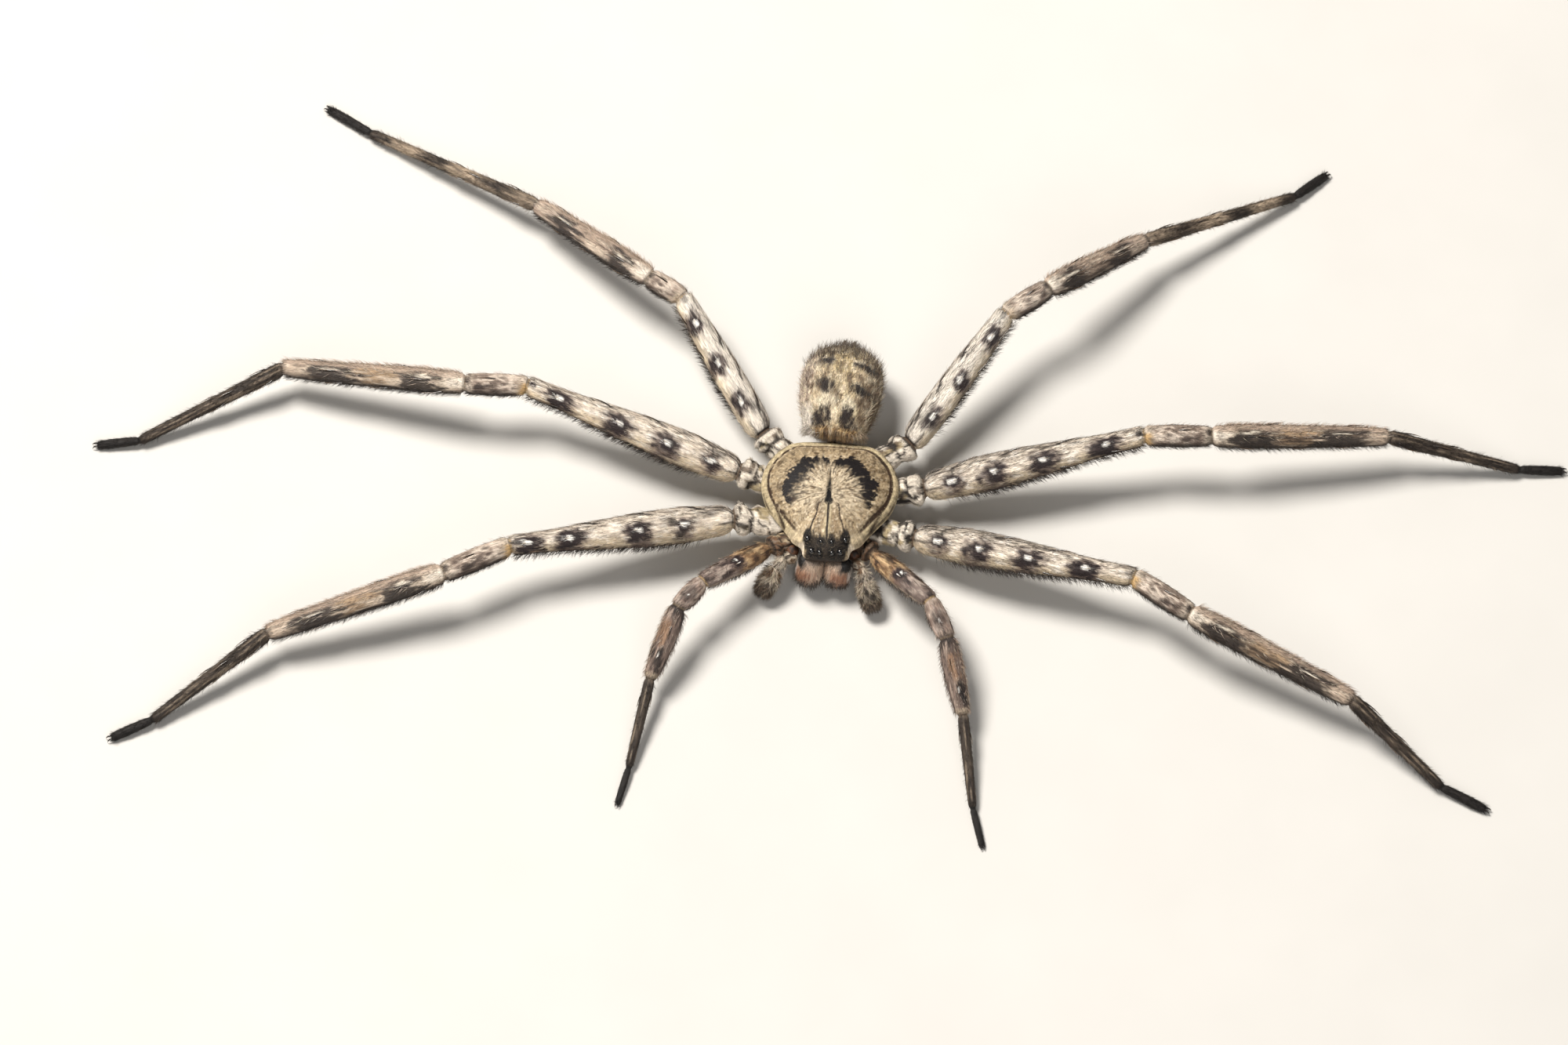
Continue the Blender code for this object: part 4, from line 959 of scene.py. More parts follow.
def paint_abdomen(u, v):
    """Tufts of cream, grey and brown in irregular clumps, pinkish on the right side and brown on the left."""
    own = abdomen_own(u, v)
    x, y, _ = own.T
    up = np.sin(v * math.tau)
    streak = noise(own, (4, 1.5, 4), 30)
    fine = noise(own, (9, 5, 9), 31)
    blotch = noise(own, 0.9, 32)
    clump = noise(own, (3.4, 2.2, 3.4), 33) + 0.7 * noise(own, (7.5, 4.8, 7.5), 35)
    ragged = 0.22 * streak + 0.32 * fine + 0.12 * clump + 0.3 * noise(own, (2.4, 1.8, 2.4), 88)
    strands = 1 - 0.5 * smooth(0.1, 0.5, noise(own, (6, 1.2, 6), 89))
    middle = smooth(0.13, 0.04, np.abs(x - 0.1 * streak)) * smooth(4.8, 4.2, y) * smooth(2.0, 2.6, y)
    shoulder = smooth(-1.95, -2.35, x + 0.3 * fine) * smooth(2.8, 1.8, y)
    corner = smooth(1.4, 0.9, y + 0.3 * fine)
    band = smooth(0.4, 0.16, y + 0.15 * streak) * plateau(x, -2.0, -1.7, 2.3, 2.6)
    dashes = noise(own, (5, 0.5, 0.5), 34)
    tint = layered(
        ABDOMEN_CREAM,
        (ABDOMEN_GREY, 0.5 + 0.5 * blotch),
        ((184, 166, 156), 0.8 * smooth(-1.9, -3.0, x + 0.4 * blotch)),
        ((128, 110, 90), 0.85 * smooth(1.6, 2.9, x + 0.4 * blotch)),
        ((206, 184, 138), 0.8 * smooth(1.2, 0.5, oval(x - 0.2, y - 7.0, 1.5, 2.2))),
        ((104, 84, 64), 0.85 * smooth(0.2, 0.55, clump)),
        ((234, 219, 192), 0.85 * smooth(0.1, 0.45, -clump) * smooth(-0.3, 0.4, up)),
        ((64, 52, 42), 0.6 * smooth(0.4, 0.75, streak)))
    for (mx, my), half in ABDOMEN_PATCHES:
        tint = layered(tint, (ABDOMEN_PALE, 0.9 * smooth(1.3, 0.7, oval(x - mx, y - my, *half) + ragged)))
    for (mx, my), half, strength in ABDOMEN_SPOTS:
        spot = smooth(1.35, 0.95, oval(x - mx, y - my, *half) + ragged)
        tint = layered(tint, (ABDOMEN_SPOT, strength * strands * spot * smooth(0.0, 0.3, up)))
    tint = layered(
        tint,
        (ABDOMEN_SPOT, 0.6 * middle),
        ((214, 206, 196), 0.85 * shoulder * smooth(-0.5, 0.2, 0.3 - clump)),
        ((206, 197, 186), 0.85 * corner * smooth(-1.95, -2.2, x)),
        ((168, 150, 128), 0.7 * corner * smooth(2.3, 2.6, x)),
        (ABDOMEN_ORANGE, 0.9 * band),
        ((84, 62, 40), 0.85 * band * smooth(0.05, 0.35, dashes)),
        ((216, 190, 146), 0.7 * band * smooth(0.15, 0.45, -dashes)),
        ((96, 84, 70), 0.6 * smooth(8.7, 9.5, y)),
        ((150, 130, 104), 0.8 * smooth(-0.2, -0.7, up) * smooth(0.5, 0.9, y)))
    return flecked(tint, own, 0.2, (0.8, 0.8, 0.8))


def rearwards(u, _, along):
    """Hair on the abdomen points back, and up where the front end faces forward."""
    rising = (BACK + 0.6 * UP) * smooth(0.3, 0.1, u)[:, None]
    return rising + along * smooth(0.05, 0.3, u)[:, None]


def hang_outwards(_, points, __):
    """Hair on the abdomen's front corners that spreads forward and sideways."""
    side = np.sign((points - ABDOMEN_START) @ ASIDE)[:, None]
    return 1.3 * side * ASIDE - 1.4 * BACK - 0.3 * UP


def hang_forward(_, points, __):
    """Hair on the front end of the abdomen that hangs forward over the carapace's edge."""
    return np.tile(-BACK - 0.5 * UP, (len(points), 1))


ABDOMEN = Patch(abdomen_place, abdomen_grain, paint_abdomen, 110, rearwards)


# ---- jaws and palps ----

def paint_jaw(tube, t, v, side):
    """Jaws are pale towards each other, orange-brown outside, dark at the lower end, and black at the top and
    the upper outer corner as painted shadow under the carapace's front.
    """
    own = tube.own(t, v)
    streak = noise(own, (0.8, 6, 6), 40)
    fine = noise(own, (0.6, 11, 11), 41)
    outwards = own[:, 1] / (tube.half_width(t) - tube.inset) * (-1 if side == "r" else 1)
    brown = smooth(-0.9, 0.2, outwards + 0.5 * streak) * smooth(0.12, 0.4, t)
    # the upper outer corner, painted black as shadow
    corner = smooth(0.1, 0.5, outwards + 0.1 * streak) * smooth(0.3, 0.18, t + 0.06 * streak)
    return layered(
        JAW_PALE,
        (JAW_ORANGE, brown),
        (JAW_DEEP, 0.6 * brown * smooth(0.0, 0.7, streak)),
        (JAW_PALE, 0.55 * smooth(0.2, 0.7, fine)),
        (WHITE_HAIR, 0.7 * smooth(0.82, 0.95, outwards) * smooth(0.75, 0.55, t)),
        (JAW_DARK, smooth(0.62, 0.86, t + 0.1 * streak)),
        # black at the top and the upper outer corner: painted shadow under the carapace's front
        (BLACK, np.maximum(corner, 0.7 * smooth(0.14, 0.05, t))))


def jaw_patch(side):
    tip = mirrored(CHELICERA_TIP, side) + (JAW_SWING, 0, 0)
    tube = Tube(mirrored(CHELICERA_TOP, side), tip, curve(CHELICERA_HALF_WIDTH), curve(CHELICERA_HALF_DEPTH),
                gap=0, inset=COAT_DEPTH / 2)
    return tube.patch(lambda u, v: paint_jaw(tube, u, v, side), 40)


def paint_palp(tube, t, v, is_bulb):
    own = tube.own(t, v)
    deg = round_degrees(v)
    mottle = noise(own + tube.start, (1.5, 2.2, 2.2), 44) + 0.4 * noise(own, (4, 9, 9), 45)
    tint = layered(
        (206, 192, 172),
        ((112, 88, 66), smooth(0.05, 0.4, mottle)),
        ((48, 36, 29), 0.9 * smooth(0.25, 0.5, -mottle)))
    if is_bulb:
        wedge = smooth(0.0, 0.25, np.abs(t - 0.3) - 0.12 + 0.1 * mottle)
        tint = layered(
            tint,
            ((104, 84, 65), 0.7 * wedge * smooth(0.2, 0.6, t + 0.3 * mottle)),
            ((46, 37, 31), 0.8 * smooth(0.75, 1.0, t + 0.15 * mottle)))
    return layered(tint, ((84, 68, 54), 0.6 * (smooth(0, -50, deg) + smooth(180, 230, deg))))


def palp_patches(side):
    joints = (PALP_BASE, PALP_ELBOW, PALP_WRIST, PALP_TIP)
    base, elbow, wrist, tip = (np.array(joint[side]) for joint in joints)
    arm = tapered(PALP_RADIUS)
    stretches = (
        (base, elbow, arm, arm, None, wrist - elbow),
        (elbow, wrist, arm, arm, elbow - base, tip - wrist),
        (wrist, tip, tapered(CYMBIUM_RADIUS), tapered(CYMBIUM_RADIUS * 0.85), wrist - elbow, None),
    )
    patches = []
    for i, stretch in enumerate(stretches):
        tube = Tube(*stretch, gap=0.1, inset=COAT_DEPTH / 2)

        def paint(u, v, tube=tube, is_bulb=i == 2):
            return paint_palp(tube, u, v, is_bulb)
        patches.append(tube.patch(paint, 24, (i / 3, (i + 1) / 3)))
    return patches


# ---- meshes ----

def mesh_object(name, points, face_sets, finish, vectors, corner_map):
    """An object from points in millimetres and sets of faces. vectors are the points' tint and grain."""
    mesh = bpy.data.meshes.new(name)
    mesh.vertices.add(len(points))
    mesh.vertices.foreach_set("co", (points * MM + ORIGIN).astype(np.float32).ravel())
    corners = np.concatenate([faces.ravel() for faces in face_sets])
    sizes = np.concatenate([np.full(len(faces), faces.shape[1]) for faces in face_sets])
    mesh.loops.add(len(corners))
    mesh.loops.foreach_set("vertex_index", corners.astype(np.int32))
    mesh.polygons.add(len(sizes))
    mesh.polygons.foreach_set("loop_start", (np.cumsum(sizes) - sizes).astype(np.int32))
    mesh.update(calc_edges=True)
    for key, values in vectors.items():
        if key == "tint":
            layer = mesh.color_attributes.new(key, "FLOAT_COLOR", "POINT")
            values = np.concatenate((np.clip(values, 0, 1), np.ones((len(values), 1))), axis=1)
            layer.data.foreach_set("color", values.astype(np.float32).ravel())
        else:
            layer = mesh.attributes.new(key, "FLOAT_VECTOR", "POINT")
            layer.data.foreach_set("vector", values.astype(np.float32).ravel())
    bake = mesh.uv_layers.new(name="OFBake")
    bake.data.foreach_set("uv", corner_map.astype(np.float32).ravel())
    mesh.materials.append(finish)
    mesh.shade_smooth()
    obj = bpy.data.objects.new(name, mesh)
    bpy.context.scene.collection.objects.link(obj)
    return obj


# where the first rings of a patch lie, as shares of the usual step
END_RINGS = np.array((0.0, 0.08, 0.2, 0.4, 0.7))
CAP_MAP = ((0.0, 0.0), (0.001, 0.0), (0.0005, 0.001))


def with_poles(rings):
    """The points of all rings, then the middle of the first ring and that of the last."""
    return np.concatenate((rings.reshape(-1, 3), rings[0].mean(0)[None], rings[-1].mean(0)[None]))


def skin_mesh(name, patches, sides, finish, folds_between=None):
    """One closed surface through all rings of several patches in turn.

    folds_between has the share and the colour of the ring between each patch and the next.
    """
    v = np.arange(sides) / sides
    layers = ([], [], [])
    places = []
    for i, patch in enumerate(patches):
        ends = END_RINGS / patch.rings
        inside = np.linspace(1.0, patch.rings - 1.0, patch.rings - 1) / patch.rings
        t = np.concatenate((ends, inside, 1 - ends[::-1]))
        u, vv = (grid.ravel() for grid in np.meshgrid(t, v, indexing="ij"))
        for layer, read in zip(layers, (patch.place, patch.paint, patch.grain)):
            layer.append(read(u, vv).reshape(len(t), sides, 3))
        places.append(patch.window[0] + (patch.window[1] - patch.window[0]) * t)
        if folds_between and i < len(patches) - 1:
            share, colour = folds_between[i]
            middle = (patch.place(np.ones(sides), v) + patches[i + 1].place(np.zeros(sides), v)) / 2
            centre = middle.mean(axis=0)
            layers[0].append((centre + (middle - centre) * share)[None])
            layers[1].append(np.tile(linear(colour), (1, sides, 1)))
            layers[2].append(layers[2][-1][-1:] + 0.1)
            places.append(np.array([patch.window[1]]))
    points, tints, grains = (with_poles(np.concatenate(layer)) for layer in layers)
    places = np.concatenate(places)
    steps = ((0, 0), (0, 1), (1, 1), (1, 0))
    last = len(places) - 1
    ring, side = (grid.ravel() for grid in np.meshgrid(np.arange(last), np.arange(sides), indexing="ij"))
    quads = np.stack([(ring + down) * sides + (side + on) % sides for down, on in steps], 1)
    quad_map = np.stack([np.stack((places[ring + down], (side + on) / sides), 1) for down, on in steps], 1)
    side = np.arange(sides)
    after = (side + 1) % sides
    pole = (last + 1) * sides
    end = last * sides
    caps = np.concatenate((np.stack((after, side, np.full(sides, pole)), 1),
                           np.stack((end + side, end + after, np.full(sides, pole + 1)), 1)))
    cap_map = np.tile(np.array(CAP_MAP), (2 * sides, 1, 1))
    a, b, c, d = points[quads].swapaxes(0, 1)
    volume = np.sum(a * np.cross(b, c)) + np.sum(a * np.cross(c, d))
    if volume < 0:
        quads = quads[:, ::-1]
        quad_map = quad_map[:, ::-1]
        caps = caps[:, ::-1]
    corner_map = np.concatenate((quad_map.reshape(-1, 2), cap_map.reshape(-1, 2)))
    return mesh_object(name, points, (quads, caps), finish, {"tint": tints, "grain": grains}, corner_map)


# ---- hair ----

Tuft = namedtuple("Tuft", "faces glow map")
# a straight tuft is a pointed sliver of three corners and a tip, a bent one has three more halfway.
# The light factor of each point darkens a tuft's root as painted shade and brightens its tip as a painted
# highlight; map is each point's place in the tuft's own spot of the coat map
STRAIGHT = Tuft(
    np.array(((1, 0, 3), (2, 1, 3), (0, 2, 3), (0, 1, 2))),
    np.array((0.68, 0.68, 0.8, 1.08)),
    np.array(((-1, -1), (1, -1), (0, -0.5), (0, 1))))
BENT = Tuft(
    np.array(((1, 0, 3), (1, 3, 4), (2, 1, 4), (2, 4, 5), (0, 2, 5), (0, 5, 3),
              (4, 3, 6), (5, 4, 6), (3, 5, 6), (0, 1, 2))),
    np.array((0.62, 0.62, 0.72, 0.98, 0.98, 1.02, 1.1)),
    np.array(((-1, -1), (1, -1), (0, -0.6), (-0.8, 0), (0.8, 0), (0, 0.3), (0, 1))))
MAP_SPOT = 0.0015
ROOT_DEPTH = 0.05
MIDDLE_WIDTH = 0.8
MIDDLE_SAG = 0.12
LENGTH_SPREAD = 0.3
WIDTH_SPREAD = 0.25
HUE_SPREAD = 0.03
FLOOR = 0.01
PATCH_END = 0.004


class Coat:
    """Gathers tufts of hair over patches and turns them into one mesh."""

    def __init__(self, name, finish):
        self.name = name
        self.finish = finish
        self.batches = []

    def grow(self, patch, per_mm2, length, width, lift, swing=20, zone=None, tint=None, bend=0.0, vary=0.14,
             lie=None):
        """Tufts over a patch.

        length and width are in mm, lift and swing in degrees. zone(u, v) thins them, bend curls their
        tips down, vary is how much their brightness differs, and lie stands in for the patch's own.
        """
        u, v = scatter(patch, per_mm2, zone)
        count = len(u)
        if not count:
            return
        points, normal, along, _ = surface_frame(patch, u, v)
        aim = (lie or patch.lie)(u, points, along)
        aim = unit(aim - normal * np.sum(aim * normal, axis=1)[:, None])
        angle = np.radians(rng.normal(0, swing, count))[:, None]
        aim = aim * np.cos(angle) + np.cross(normal, aim) * np.sin(angle)
        rise = np.radians(lift * rng.uniform(0.5, 1.5, count))[:, None]
        way = aim * np.cos(rise) + normal * np.sin(rise)
        side = unit(np.cross(way, normal))
        ridge = np.cross(side, way)
        long = (length * rng.uniform(1 - LENGTH_SPREAD, 1 + LENGTH_SPREAD, count))[:, None]
        wide = (width / 2 * rng.uniform(1 - WIDTH_SPREAD, 1 + WIDTH_SPREAD, count))[:, None]
        colours = patch.paint(u, v) if tint is None else linear(tint)
        colours = colours * (1 + vary * rng.normal(0, 1, (count, 1)))
        colours = colours * (1 + HUE_SPREAD * rng.normal(0, 1, (count, 3)))
        root = points - normal * ROOT_DEPTH
        stem = way * (long + ROOT_DEPTH)
        corners = [root + offset * wide for offset in (-side, side, ridge)]
        if bend:
            middle = root + stem * 0.5 - normal * (bend * long * MIDDLE_SAG)
            corners += [middle + offset * wide * MIDDLE_WIDTH for offset in (-side, side, ridge)]
        corners = np.stack((*corners, root + stem - normal * (bend * long)), 1)
        corners[..., 2] = np.maximum(corners[..., 2], FLOOR)
        kind = BENT if bend else STRAIGHT
        low, high = patch.window
        spots = np.clip(np.stack((low + (high - low) * u, v % 1.0), 1), MAP_SPOT, 1 - MAP_SPOT)
        spots = spots[:, None, :] + kind.map[None] * MAP_SPOT
        # each tuft's colour is darkened at the root as painted shade and brightened at the tip as a painted
        # highlight
        self.batches.append((corners, colours[:, None, :] * kind.glow[None, :, None], spots, kind.faces))

    def finish_mesh(self):
        points = []
        tints = []
        triangles = []
        mapped = []
        start = 0
        for corners, colours, spots, faces in self.batches:
            count, k, _ = corners.shape
            index = (np.arange(count)[:, None, None] * k + faces[None]).reshape(-1, 3)
            triangles.append(start + index)
            mapped.append(spots.reshape(-1, 2)[index.ravel()])
            points.append(corners.reshape(-1, 3))
            tints.append(colours.reshape(-1, 3))
            start += count * k
        return mesh_object(self.name, np.concatenate(points), (np.concatenate(triangles),), self.finish,
                           {"tint": np.concatenate(tints)}, np.concatenate(mapped))


def scatter(patch, per_mm2, zone=None):
    """Random places, even over the patch's area and thinned by zone(u, v)."""
    steps = np.linspace(PATCH_END, 1 - PATCH_END, 120)
    u, v = (grid.ravel() for grid in np.meshgrid(steps, np.arange(24) / 24))
    most = surface_frame(patch, u, v)[3].max() * 1.05
    count = int(most * per_mm2)
    u = rng.uniform(PATCH_END, 1 - PATCH_END, count)
    v = rng.random(count)
    chance = surface_frame(patch, u, v)[3] / most
    if zone is not None:
        chance = chance * zone(u, v)
    keep = rng.random(count) < chance
    return u[keep], v[keep]


# ---- materials ----

class Finish:
    """A material built up from nodes. Each input is given as a value or as the output that feeds it."""

    def __init__(self, name):
        self.material = bpy.data.materials.new(name)
        self.material.use_nodes = True
        self.tree = self.material.node_tree

    def feed(self, node, inputs):
        for key, given in inputs.items():
            if isinstance(given, bpy.types.NodeSocket):
                self.tree.links.new(given, node.inputs[key])
            else:
                node.inputs[key].default_value = given

    def node(self, kind, inputs=None):
        made = self.tree.nodes.new(kind)
        self.feed(made, inputs or {})
        return made

    def attribute(self, name):
        made = self.node("ShaderNodeAttribute")
        made.attribute_name = name
        return made

    def noise(self, source, stretch, detail, scale=1.0):
        """A noise texture read along stretched coordinates."""
        mapped = self.node("ShaderNodeMapping", {"Scale": stretch, "Vector": source})
        inputs = {"Scale": scale, "Detail": detail, "Roughness": 0.6, "Vector": mapped.outputs["Vector"]}
        return self.node("ShaderNodeTexNoise", inputs).outputs["Fac"]

    def even_noise(self, detail, scale):
        place = self.node("ShaderNodeTexCoord").outputs["Object"]
        return self.noise(place, (1, 1, 1), detail, scale)

    def ranged(self, source, low, high):
        """A noise's usual values, 0.3 to 0.7, spread from low to high."""
        inputs = {"From Min": 0.3, "From Max": 0.7, "To Min": low, "To Max": high, "Value": source}
        return self.node("ShaderNodeMapRange", inputs).outputs["Result"]

    def tinted(self, source, low, high):
        """The mesh's own colour, multiplied by a noise spread from low to high."""
        tint = self.attribute("tint").outputs["Color"]
        product = self.node("ShaderNodeVectorMath")
        product.operation = "SCALE"
        self.feed(product, {0: tint, "Scale": self.ranged(source, low, high)})
        return product.outputs["Vector"]

    def bump(self, height, strength, depth):
        inputs = {"Strength": strength, "Distance": depth * MM, "Height": height}
        return self.node("ShaderNodeBump", inputs).outputs["Normal"]

    def shaded(self, **inputs):
        """The finished material. In the names of the shader's inputs _ stands for a space."""
        named = {key.replace("_", " "): given for key, given in inputs.items()}
        self.feed(self.tree.nodes["Principled BSDF"], named)
        return self.material


def skin_material(name, rough, stretch, depth, specular=0.35):
    """Skin under short flat hair: streaks that run with the hair in its colour, gloss and relief."""
    finish = Finish(name)
    grain = finish.attribute("grain").outputs["Vector"]
    streak = finish.noise(grain, stretch, 4)
    pores = finish.noise(grain, tuple(3 * s for s in stretch), 2)
    relief = finish.node("ShaderNodeMath", {0: streak, 1: pores})
    relief.operation = "ADD"
    return finish.shaded(
        Base_Color=finish.tinted(streak, 0.6, 1.3),
        Roughness=finish.ranged(pores, rough - 0.12, rough + 0.12),
        Specular_IOR_Level=specular,
        Normal=finish.bump(relief.outputs["Value"], 0.8, depth))


def hair_material(name, rough, specular, sheen):
    """Tufts: each has its own colour, with a finer change of colour and gloss along it."""
    finish = Finish(name)
    fleck = finish.even_noise(2, 4000)
    return finish.shaded(
        Base_Color=finish.tinted(fleck, 0.86, 1.14),
        Roughness=finish.ranged(fleck, rough - 0.1, rough + 0.1),
        Specular_IOR_Level=specular,
        Sheen_Weight=sheen,
        Sheen_Roughness=0.4)


def horn_material(name, rough, coat):
    """Polished horn with faint ripples, coloured by the mesh."""
    finish = Finish(name)
    ripple = finish.even_noise(3, 5000)
    return finish.shaded(
        Base_Color=finish.tinted(ripple, 0.75, 1.25),
        Roughness=finish.ranged(ripple, rough - 0.05, rough + 0.08),
        Coat_Weight=coat,
        Coat_Roughness=0.08,
        Normal=finish.bump(ripple, 0.3, 0.01))


SKIN_LEG = skin_material("leg_skin", 0.62, (0.5, 7, 7), 0.06)
SKIN_CARAPACE = skin_material("carapace_skin", 0.6, (0.8, 6, 6), 0.05)
SKIN_ABDOMEN = skin_material("abdomen_skin", 0.75, (0.8, 6, 6), 0.07)
SKIN_UNDER = skin_material("underside_skin", 0.6, (2, 2, 2), 0.06)
SKIN_JAW = skin_material("jaw_skin", 0.45, (0.8, 7, 7), 0.05, 0.5)
HAIR = hair_material("hair", 0.62, 0.3, 0.15)
FOOT = hair_material("foot_hair", 0.45, 0.4, 0.0)
HORN = horn_material("horn", 0.22, 0.5)
LENS = horn_material("lens", 0.06, 1.0)


# ---- pieces ----

def dress(piece, slot, *nodes):
    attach(piece, "root")
    if nodes:
        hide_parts(*nodes)
    return piece


def near(degrees, reach):
    """A zone round a patch: 1 at an angle, falling to 0 at reach degrees from it."""
    def zone(u, v):
        away = np.abs((v * 360 - degrees + 180) % 360 - 180)
        return smooth(reach, reach * 0.5, away)
    return zone


def between(low, high, zone=None):
    """A zone that ends sharply at two places along a patch."""
    def ranged(u, v):
        inside = ((u > low) & (u < high)).astype(float)
        return inside * zone(u, v) if zone else inside
    return ranged


# share and colour of the skin in each joint of a leg, from the coxa's to the foot's
LEG_FOLDS = ((0.93, (84, 66, 50)), (0.9, FOLD_YELLOW), (1.0, (120, 104, 84)), (0.96, (84, 70, 58)),
             (0.97, BLACK))
PALP_FOLDS = ((0.85, FOLD_DARK), (0.85, FOLD_DARK))
SHORT_LEG_HAIR = 0.62
LOWER_EDGE = near(342, 32)
DARK_BRISTLE = (46, 39, 34)


def upper_face(_, v):
    return ((v < UPPER_SHARE - 0.01) & (v > 0.01)).astype(float)


def eye_field_zone(u, v):
    p = carapace_place(u, v)
    return eye_field(p[:, 0], p[:, 1], 0.3 * eye_field_edge(p)) * (v < UPPER_SHARE - 0.01)


def front_fringe(u, v):
    """The lower front edge of a femur, from near its base."""
    return LOWER_EDGE(u, v) * smooth(0.06, 0.4, u)


def make_leg(leg):
    name = f"leg_{leg.side}{leg.pair}"
    parts = leg_patches(leg)
    patches = [patch for _, patch in parts.values()]
    short = leg.pair == 1
    size = SHORT_LEG_HAIR if short else 1.0
    skin = skin_mesh(name + "_skin", patches, LEG_SIDES, SKIN_LEG, LEG_FOLDS)
    dress(skin, "leg_coat", *(f"{name}_{segment}" for segment in SEGMENTS))
    coat = Coat(name + "_coat", HAIR)
    coxa, femur, patella, tibia, metatarsus, tarsus = patches
    coat.grow(coxa, 45, 0.3, 0.045, 14, zone=between(0.3, 0.97))
    for patch in (femur, patella, tibia):
        coat.grow(patch, 72, 0.55 * size, 0.04, 7, swing=11, vary=0.24)
        coat.grow(patch, 9, 0.55 * size, 0.028, 9, swing=16, tint=(62, 52, 45), vary=0.35, zone=near(90, 130))
        if short:
            coat.grow(patch, 14, 0.6, 0.03, 34, bend=0.2, vary=0.3)
    # silky overlay, bristles on the upper rear edge, and the fringes that stand off both edges
    coat.grow(femur, 6, 0.95 * size, 0.03, 9, zone=near(90, 100), vary=0.22, swing=12)
    coat.grow(femur, 9, 1.1 * size, 0.045, 8, zone=near(125, 36), tint=(40, 32, 29), swing=12)
    coat.grow(femur, 60, 0.9 * size, 0.044, 50, zone=front_fringe, tint=(50, 42, 37), bend=0.2, swing=16,
              vary=0.4)
    coat.grow(femur, 8, 0.75 * size, 0.032, 32, zone=near(355, 30), bend=0.2)
    coat.grow(femur, 5, 0.7 * size, 0.032, 30, zone=near(192, 36), bend=0.2)
    coat.grow(patella, 44, 0.65 * size, 0.035, 36, zone=near(342, 42), tint=DARK_BRISTLE, bend=0.25, swing=14,
              vary=0.35)
    coat.grow(patella, 8, 0.6 * size, 0.035, 36, zone=near(185, 45), tint=PINK_HAIR, bend=0.2)
    front = (148, 134, 124) if short else DARK_BRISTLE
    fringes = ((54, 40, near(340, 42), front, 0.3), (40, 30, near(172, 48), PINK_HAIR, 0.22))
    length = 0.8 * max(size, 0.8)
    for per_mm2, lift, zone, tint, vary in fringes:
        coat.grow(tibia, per_mm2, length, 0.034, lift, zone=zone, tint=tint, bend=0.25, swing=14, vary=vary)
    coat.grow(tibia, 8, 0.8 * size, 0.045, 16, zone=near(110, 70), tint=(212, 196, 178), vary=0.15)
    dress(coat.finish_mesh(), "leg_coat")
    foot = Coat(name + "_foot_coat", FOOT)
    foot.grow(metatarsus, 60, 0.5 * size, 0.045, 13)
    for per_mm2, lift, edge in ((14, 42, 345), (12, 38, 190)):
        foot.grow(metatarsus, per_mm2, 0.62 * size, 0.032, lift, zone=near(edge, 60), bend=0.18)
    foot.grow(tarsus, 75, 0.34 * size, 0.04, 20)
    foot.grow(tarsus, 40, 0.22 * size, 0.03, 65, zone=near(270, 75), tint=(72, 64, 56))
    foot.grow(tarsus, 60, 0.4 * size, 0.035, 38, zone=between(0.86, 1.0))
    dress(foot.finish_mesh(), "foot_coat")
    return parts


def make_body():
    carapace = skin_mesh("carapace_skin", (CARAPACE,), 260, SKIN_CARAPACE)
    dress(carapace, "carapace_coat", "carapace")
    coat = Coat("carapace_hair", HAIR)
    coat.grow(CARAPACE, 130, 0.32, 0.03, 6, zone=upper_face, swing=12, vary=0.22)
    coat.grow(CARAPACE, 12, 0.45, 0.026, 10, zone=upper_face, swing=15, vary=0.3)
    coat.grow(CARAPACE, 9, 0.36, 0.024, 9, zone=upper_face, swing=15, tint=LINE, vary=0.3)
    coat.grow(CARAPACE, 150, 0.3, 0.028, 34, zone=eye_field_zone, swing=35, vary=0.45)
    coat.grow(CARAPACE, 60, 0.3, 0.022, 38, zone=eye_field_zone, swing=50, tint=(128, 114, 96), vary=0.4)
    dress(coat.finish_mesh(), "carapace_coat")
    abdomen = skin_mesh("abdomen_skin", (ABDOMEN,), 130, SKIN_ABDOMEN)
    dress(abdomen, "abdomen_coat", "abdomen")
    coat = Coat("abdomen_hair", HAIR)
    coat.grow(ABDOMEN, 150, 0.36, 0.044, 15, swing=24, vary=0.16)
    coat.grow(ABDOMEN, 14, 0.6, 0.034, 22, bend=0.2, vary=0.2)
    coat.grow(ABDOMEN, 26, 1.1, 0.03, 42, zone=between(0.72, 1.0), bend=0.2, tint=(86, 72, 58))
    # tufts that stand off each side and spread at the front corners, then the fringe over the carapace
    for edge, tint in ((0, (160, 142, 120)), (180, (204, 195, 184))):
        coat.grow(ABDOMEN, 16, 0.8, 0.03, 42, zone=near(edge, 50), swing=24, bend=0.2, vary=0.25)
        coat.grow(ABDOMEN, 110, 0.9, 0.04, 46, zone=between(0.0, 0.09, near(edge, 42)), swing=24, bend=0.12,
                  vary=0.2, lie=hang_outwards, tint=tint)
    coat.grow(ABDOMEN, 200, 0.75, 0.05, 28, zone=between(0.0, 0.035), swing=6, vary=0.15, lie=hang_forward)
    dress(coat.finish_mesh(), "abdomen_coat")


def ball(u, v):
    """Coordinates of points on a ball of radius 1, the last one along the line from pole to pole."""
    phi = u * math.pi
    return np.sin(phi) * np.cos(v * math.tau), np.sin(phi) * np.sin(v * math.tau), np.cos(phi)


def ellipsoid_patch(centre, half, paint):
    """A patch over an ellipsoid whose ends are its front and its rear."""
    centre = np.array(centre, float)
    half = np.array(half, float) - COAT_DEPTH / 2

    def place(u, v):
        x, z, y = ball(u, v)
        return centre + np.stack((x, y, z), 1) * half
    return Patch(place, place, paint, 60)


